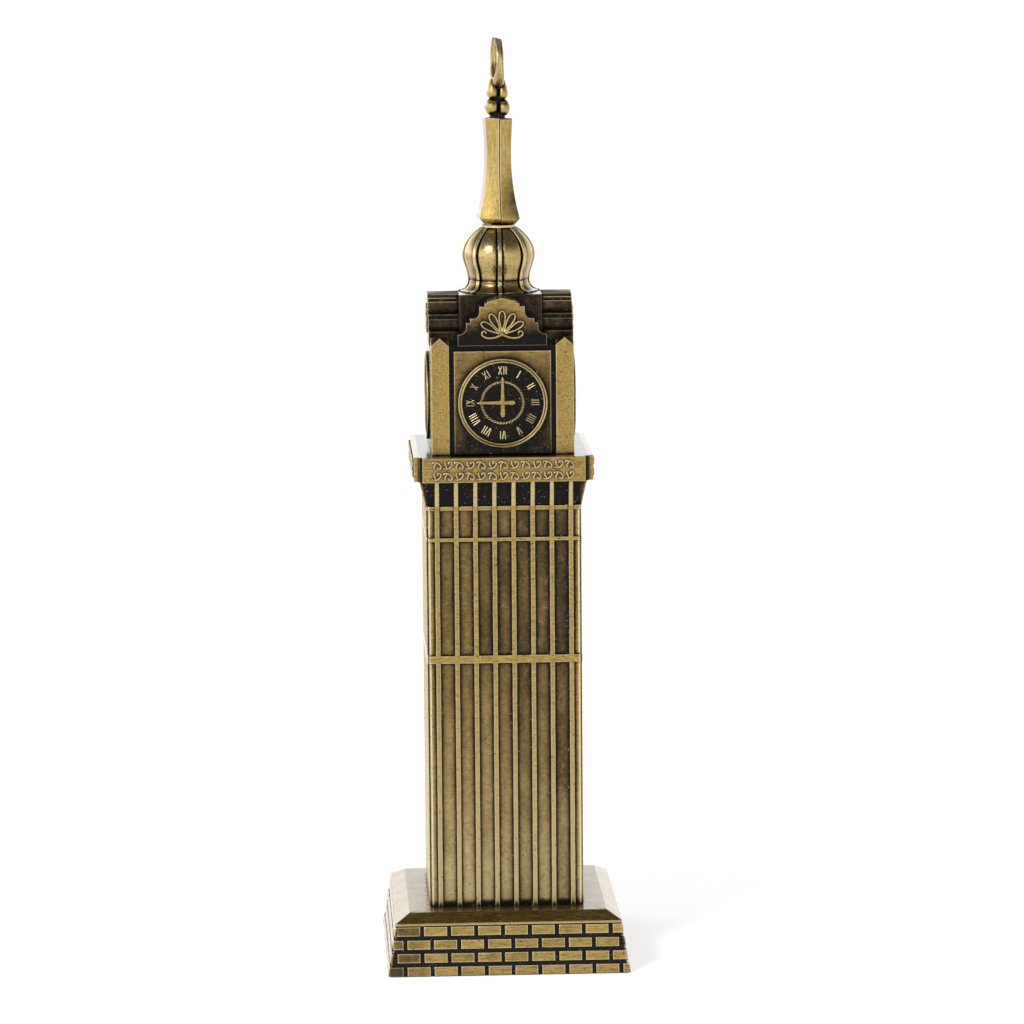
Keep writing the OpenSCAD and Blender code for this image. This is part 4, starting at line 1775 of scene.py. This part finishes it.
@dataclass
class SpireHalf:
    """Half of the spire, its two balls and its crescent, parted along the mould seam."""

    half: Half
    finish: bpy.types.Material
    turn_deg: float = 6.0
    slip: float = 0.2
    foot_z: float = 144.0
    wide: tuple[float, float] = (3.925, 145.35)
    neck: tuple[float, float] = (2.4, 157.3)
    lip: tuple[float, float] = (2.675, 164.5)
    top_z: float = 164.9
    face_half: float = 1.75
    swell: float = 0.3
    crown: float = 0.3
    ball_r: float = 2.45
    ball_z: float = 166.7
    ball_h: float = 1.6
    drop_r: float = 2.08
    drop_z: float = 169.35
    drop_below: float = 1.15
    drop_above: float = 2.7
    crescent_r: float = 4.9
    horn_r: float = 4.05
    horn_lift: float = 0.9
    foot_t: float = 1.3
    tip_t: float = 0.62
    gap: float = 0.03

    def section(self, h: float, z: float) -> Ring:
        """The half octagon at one height, its flat on the seam.

        Args:
            h: the spire's half width there.
            z: the height.

        Returns:
            The points.
        """
        f = min(self.face_half + self.swell * (h - self.neck[0]), h - 0.3)
        s = self.half.value
        points = [(self.gap, -h), (f, self.crown - h), (h, -f), (h, f), (f, h - self.crown), (self.gap, h)]
        return [Vector((s * x, y, z)) for x, y in points]

    def shaft(self) -> bmesh.types.BMesh:
        """The tapering half shaft, from its rounded foot to its lip.

        Returns:
            The shell.
        """
        levels = [(self.wide[0] - 1.0, self.foot_z + self.slip), (self.wide[0] - 0.68, self.foot_z + 0.42),
                  (self.wide[0] - 0.3, self.foot_z + 0.8), (self.wide[0] - 0.06, self.foot_z + 1.12)]
        for i in range(15):
            t = i / 14
            levels.append((self.neck[0] + (self.wide[0] - self.neck[0]) * (1 - t) ** 2,
                           self.wide[1] + (self.neck[1] - self.wide[1]) * t))
        for i in range(1, 9):
            t = i / 8
            levels.append((self.neck[0] + (self.lip[0] - self.neck[0]) * t * t,
                           self.neck[1] + (self.lip[1] - self.neck[1]) * t))
        levels += [(self.lip[0] - 0.12, self.lip[1] + 0.14), (self.lip[0] - 0.5, self.lip[1] + 0.24)]
        tones = [0.8, 0.3, 0.0] + [0.0] * (len(levels) - 5) + [-0.3, 0.6]
        rings = [self.section(h, z) for h, z in levels]
        shell = loft(rings, tones)
        if self.half is Half.RIGHT:
            # Painted shade: this half is drawn darker, as if lit from the left, and a band of darker patina
            # lies low on it.
            shade(shell, lambda spot: (0.16 + 0.5 * max(0.0, 1 - abs(spot.z - self.foot_z - 5) / 6)) *
                  (0.4 + 0.2 * spot.x))
        bevel_edges(shell, 0.16, 3, 36.0)
        return shade(shell, lambda spot: 1.2 if abs(spot.x) < self.gap + 0.09 else 0.0)

    def half_turned(self, outline: Sequence[tuple[float, float]], patina: float) -> bmesh.types.BMesh:
        """Half of a turned shape, with a softly rounded edge where it meets the seam.

        Args:
            outline: its points as (radius, height).
            patina: how tarnished it starts.

        Returns:
            The shell.
        """
        steps = 14
        rings = []
        for r, z in outline:
            ring = []
            for i in range(steps + 1):
                angle = math.radians(-90 + 180 * i / steps)
                out = r * math.cos(angle) + self.gap
                ring.append(Vector((self.half.value * out, r * math.sin(angle), z)))
            rings.append(ring)
        shell = loft(rings, patina)
        bevel_edges(shell, 0.3, 3, 50.0)
        return shell

    def lobe(self, outline: Sequence[tuple[float, float]], r: float) -> bmesh.types.BMesh:
        """Half of a ball, full and round towards the seam too.

        Args:
            outline: its points as (share of its girth, height).
            r: the whole ball's radius.

        Returns:
            The shell.
        """
        around = 28
        girth = (r - self.gap) / 2
        rings = []
        for share, z in outline:
            ring = []
            for i in range(around):
                angle = math.tau * i / around
                along, across = math.cos(angle), math.sin(angle)
                inward = 0.55 if along < 0 else 0.9
                reach = math.copysign(abs(along) ** inward, along)
                slide = share if along > 0 else share ** 0.45
                x = self.gap + girth * (1 + slide * reach)
                ring.append(Vector((self.half.value * x, r * 0.96 * share * across, z)))
            rings.append(ring)
        return loft(rings, 0.1)

    def ball(self) -> bmesh.types.BMesh:
        """Half of the round ball on the spire's lip.

        Returns:
            The shell.
        """
        angles = [math.radians(a) for a in range(-80, 81, 10)]
        outline = [(max(0.3, math.cos(a) ** 0.85), self.ball_z + self.ball_h * math.sin(a)) for a in angles]
        return self.lobe(outline, self.ball_r)

    def drop(self) -> bmesh.types.BMesh:
        """Half of the drop between the ball and the crescent: round below, drawn out above.

        Returns:
            The shell.
        """
        angles = [math.radians(a) for a in range(-80, 1, 10)]
        below = [(max(0.3, math.cos(a)), self.drop_z + self.drop_below * math.sin(a)) for a in angles]
        above = [(1 - 0.62 * (i / 8) ** 1.7, self.drop_z + self.drop_above * i / 8) for i in range(1, 9)]
        return self.lobe(below + above, self.drop_r)

    def crescent(self, top: float) -> bmesh.types.BMesh:
        """Half of the crescent, which stands in the seam's plane and thins towards its horns.

        Args:
            top: height of the horns' tips.

        Returns:
            The shell.
        """
        tip = (self.crescent_r ** 2 - self.horn_r ** 2 + self.horn_lift ** 2) / (2 * self.horn_lift)
        centre = top - tip
        outer = math.acos(tip / self.crescent_r)
        inner = math.acos((tip - self.horn_lift) / self.horn_r)
        steps = 44
        rings = []
        for i in range(steps + 1):
            t = i / steps
            a = math.pi / 2 - outer - (math.tau - 2 * outer) * t
            b = math.pi / 2 - inner - (math.tau - 2 * inner) * t
            out = Vector((self.crescent_r * math.cos(a), centre + self.crescent_r * math.sin(a)))
            into = Vector((self.horn_r * math.cos(b), centre + self.horn_lift + self.horn_r * math.sin(b)))
            if i in (0, steps):
                into = out + (into - out) * 0.5 + Vector((0.0, -0.12))
            mid = (out + into) / 2
            share = (mid.y - (centre - self.crescent_r)) / (tip + self.crescent_r)
            t_half = self.foot_t + (self.tip_t - self.foot_t) * min(1.0, 2.2 * share) ** 0.8
            ring = []
            for u, v in ((0.04, 0.0), (0.0, 0.18), (0.02, 0.62), (0.2, 0.92), (0.5, 1.0), (0.8, 0.92),
                         (0.98, 0.62), (1.0, 0.18), (0.96, 0.0)):
                spot = out + (into - out) * u
                ring.append(Vector((self.half.value * (self.gap + t_half * v), spot.x, spot.y)))
            rings.append(ring)
        return loft(rings, 0.1)

    def build(self) -> bpy.types.Object:
        """Makes the half spire.

        Returns:
            The finished piece.
        """
        node = f"spire_{self.half.name.lower()}_half"
        drop = 0.0 if self.half is Half.LEFT else -self.slip
        place = Matrix.Rotation(math.radians(self.turn_deg), 4, "Z") @ Matrix.Translation((0, 0, drop))
        casting = Casting(f"spire_casting_{self.half.name.lower()}")
        casting.add(self.shaft(), place)
        peg = [(1.3, self.foot_z - 1.8), (1.3, self.foot_z + 1.5)]
        casting.add(self.half_turned(peg, 0.9), place, layer=1)
        core = [(1.5, self.top_z - 0.5), (1.5, self.top_z + 0.6), (1.1, self.top_z + 1.2),
                (1.0, self.drop_z + 1.6)]
        casting.add(self.half_turned(core, 1.0), place, layer=2)
        casting.add(self.ball(), place, layer=3)
        casting.add(self.drop(), place, layer=4)
        casting.add(self.crescent(Box.of(node).high.z - drop), place, layer=5)
        return casting.cast(self.finish, node)


# ---------------------------------------------------------------- studio


@dataclass(frozen=True)
class Studio:
    """A plain pale floor under a bright horizon and a dim ceiling, as in a light tent open at its top."""

    aim: tuple[float, float, float] = (2.24, 0.0, 87.28)
    distance: float = 962.9
    yaw: float = 2.633
    pitch: float = 8.892
    roll: float = -0.457
    lens: float = 172.86
    floor_r: float = 9000.0
    key_spot: tuple[float, float, float] = (-620.0, -760.0, 780.0)
    key_size: float = 220.0
    key_power: float = 4.5

    def camera(self) -> None:
        """Sets the camera up at the viewing angle."""
        yaw, pitch, roll = (math.radians(value) for value in (self.yaw, self.pitch, self.roll))
        ahead = Vector((math.sin(yaw) * math.cos(pitch), math.cos(yaw) * math.cos(pitch), -math.sin(pitch)))
        right = Vector((math.cos(yaw), -math.sin(yaw), 0.0))
        up = right.cross(ahead)
        rolled_right = right * math.cos(roll) + up * math.sin(roll)
        rolled_up = up * math.cos(roll) - right * math.sin(roll)
        data = bpy.data.cameras.new("view")
        data.lens = self.lens
        data.sensor_width = 36.0
        data.clip_end = 100.0
        camera = bpy.data.objects.new("view", data)
        bpy.context.scene.collection.objects.link(camera)
        turn = Matrix((rolled_right, rolled_up, -ahead)).transposed().to_4x4()
        spot = (Vector(self.aim) - ahead * self.distance) * MM
        camera.matrix_world = Matrix.Translation(spot) @ turn
        bpy.context.scene.camera = camera

    def floor(self) -> None:
        """Lays the floor: pale, matt and faintly lit from below, as a light table is."""
        shell = bmesh.new()
        bmesh.ops.create_circle(shell, cap_ends=True, segments=128, radius=self.floor_r * MM)
        mesh = bpy.data.meshes.new("floor")
        shell.to_mesh(mesh)
        shell.free()
        floor = bpy.data.objects.new("floor", mesh)
        bpy.context.scene.collection.objects.link(floor)
        material, tree = new_material("matt_white_acrylic")
        shader = add_node(tree, "ShaderNodeBsdfPrincipled", {
            "Base Color": linear("F4F4F4"),
            "Roughness": 0.85,
            "Specular IOR Level": 0.1,
            "Emission Color": linear("FFFFFF"),
            "Emission Strength": 0.62,
        })
        add_node(tree, "ShaderNodeOutputMaterial", {0: shader.outputs[0]})
        mesh.materials.append(material)

    def sky(self) -> None:
        """Surrounds the scene with a bright horizon that dims overhead."""
        world = bpy.data.worlds.new("light_tent")
        world.use_nodes = True
        tree = world.node_tree
        tree.nodes.clear()
        direction = add_node(tree, "ShaderNodeTexCoord").outputs["Generated"]
        aside, depth, height = add_node(tree, "ShaderNodeSeparateXYZ", {0: direction}).outputs
        ramp = add_node(tree, "ShaderNodeValToRGB", {0: height})
        # Each stop has its height and its brightness.
        stops = [(0.0, 1.75), (0.26, 1.5), (0.42, 0.7), (0.62, 0.22), (1.0, 0.13)]
        elements = ramp.color_ramp.elements
        while len(elements) < len(stops):
            elements.new(0.5)
        for element, (spot, _) in zip(elements, stops):
            element.position = spot
        for element, (_, value) in zip(elements, stops):
            element.color = (value, value, value * 1.01, 1.0)
        # The left wall of the tent is lit more than the right.
        sideways = compute(tree, "MULTIPLY_ADD", aside, -0.38, 1.0)
        behind = remap(tree, depth, 0.0, 1.0, 1.0, 1.15)
        lit = compute(tree, "MULTIPLY", sideways, behind)
        background = add_node(tree, "ShaderNodeBackground", {0: ramp.outputs[0], 1: lit})
        add_node(tree, "ShaderNodeOutputWorld", {0: background.outputs[0]})
        bpy.context.scene.world = world

    def softbox(self, name: str, spot: Sequence[float], size: float, power: float) -> None:
        """Hangs a square soft light that faces the figurine's middle.

        Args:
            name: its name.
            spot: its place, in millimetres.
            size: its side, in millimetres.
            power: its power in watts.
        """
        data = bpy.data.lights.new(name, "AREA")
        data.size = size * MM
        data.energy = power
        light = bpy.data.objects.new(name, data)
        bpy.context.scene.collection.objects.link(light)
        light.location = Vector(spot) * MM
        ahead = (Vector(self.aim) - Vector(spot)).normalized()
        light.rotation_euler = ahead.to_track_quat("-Z", "Y").to_euler()

    def build(self) -> None:
        """Sets up floor, light and camera."""
        self.camera()
        self.floor()
        self.sky()
        self.softbox("key_softbox", self.key_spot, self.key_size, self.key_power)
        scene = bpy.context.scene
        scene.view_settings.view_transform = "Standard"
        scene.view_settings.look = "None"


# ---------------------------------------------------------------- assembly


def dress_inner_parts() -> None:
    """Gives the frame's own inner pieces their finishes."""
    steel = ZincPlatedSteel().build()
    felt = PressedFelt().build()
    for name, finish in (("tie_rod", steel), ("rod_washer", steel), ("rod_nut", steel), ("felt_pad", felt)):
        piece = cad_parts[name]
        for slot in piece.material_slots:
            slot.material = finish
        log.info("%s: dressed in %s", name, finish.name)


def main() -> None:
    """Builds the figurine piece by piece."""
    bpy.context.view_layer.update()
    Studio().build()
    Plinth(AntiqueBrass("antique_brass_plated_zinc_plinth").build()).build()
    shaft_brass = AntiqueBrass("antique_brass_plated_zinc_shaft", pale_mm=(62.0, 12.0), crevice_mm=1.5,
                               crevice=1.5).build()
    for face in Face:
        ShaftPanel(face, shaft_brass).build()
    cornice_brass = AntiqueBrass("antique_brass_plated_zinc_cornice", brass="AB9151", crevice_mm=0.5, rub_and_highlight=0.6)
    Cornice(cornice_brass.build()).build()
    case_brass = AntiqueBrass("antique_brass_plated_zinc_case", Brushing.POLISHED, grain_mm=0.14)
    ClockCase(case_brass.build()).build()
    dial_brass = AntiqueBrass("antique_brass_plated_zinc_dial", rub_and_highlight=0.55).build()
    for face in Face:
        DialPanel(face, dial_brass).build()
    Roof(AntiqueBrass("antique_brass_plated_zinc_roof", rub_and_highlight=0.35).build()).build()
    dome_brass = AntiqueBrass("antique_brass_plated_zinc_dome", Brushing.POLISHED, brass="BFA873",
                              warm="9C8450", roughness=0.2, grain=0.12)
    Dome(dome_brass.build()).build()
    spire_brass = AntiqueBrass("antique_brass_plated_zinc_spire", Brushing.UPRIGHT, brass="BFA668",
                               warm="97803F", roughness=0.26).build()
    for half in Half:
        SpireHalf(half, spire_brass).build()
    dress_inner_parts()


if __name__ == "__main__":
    main()
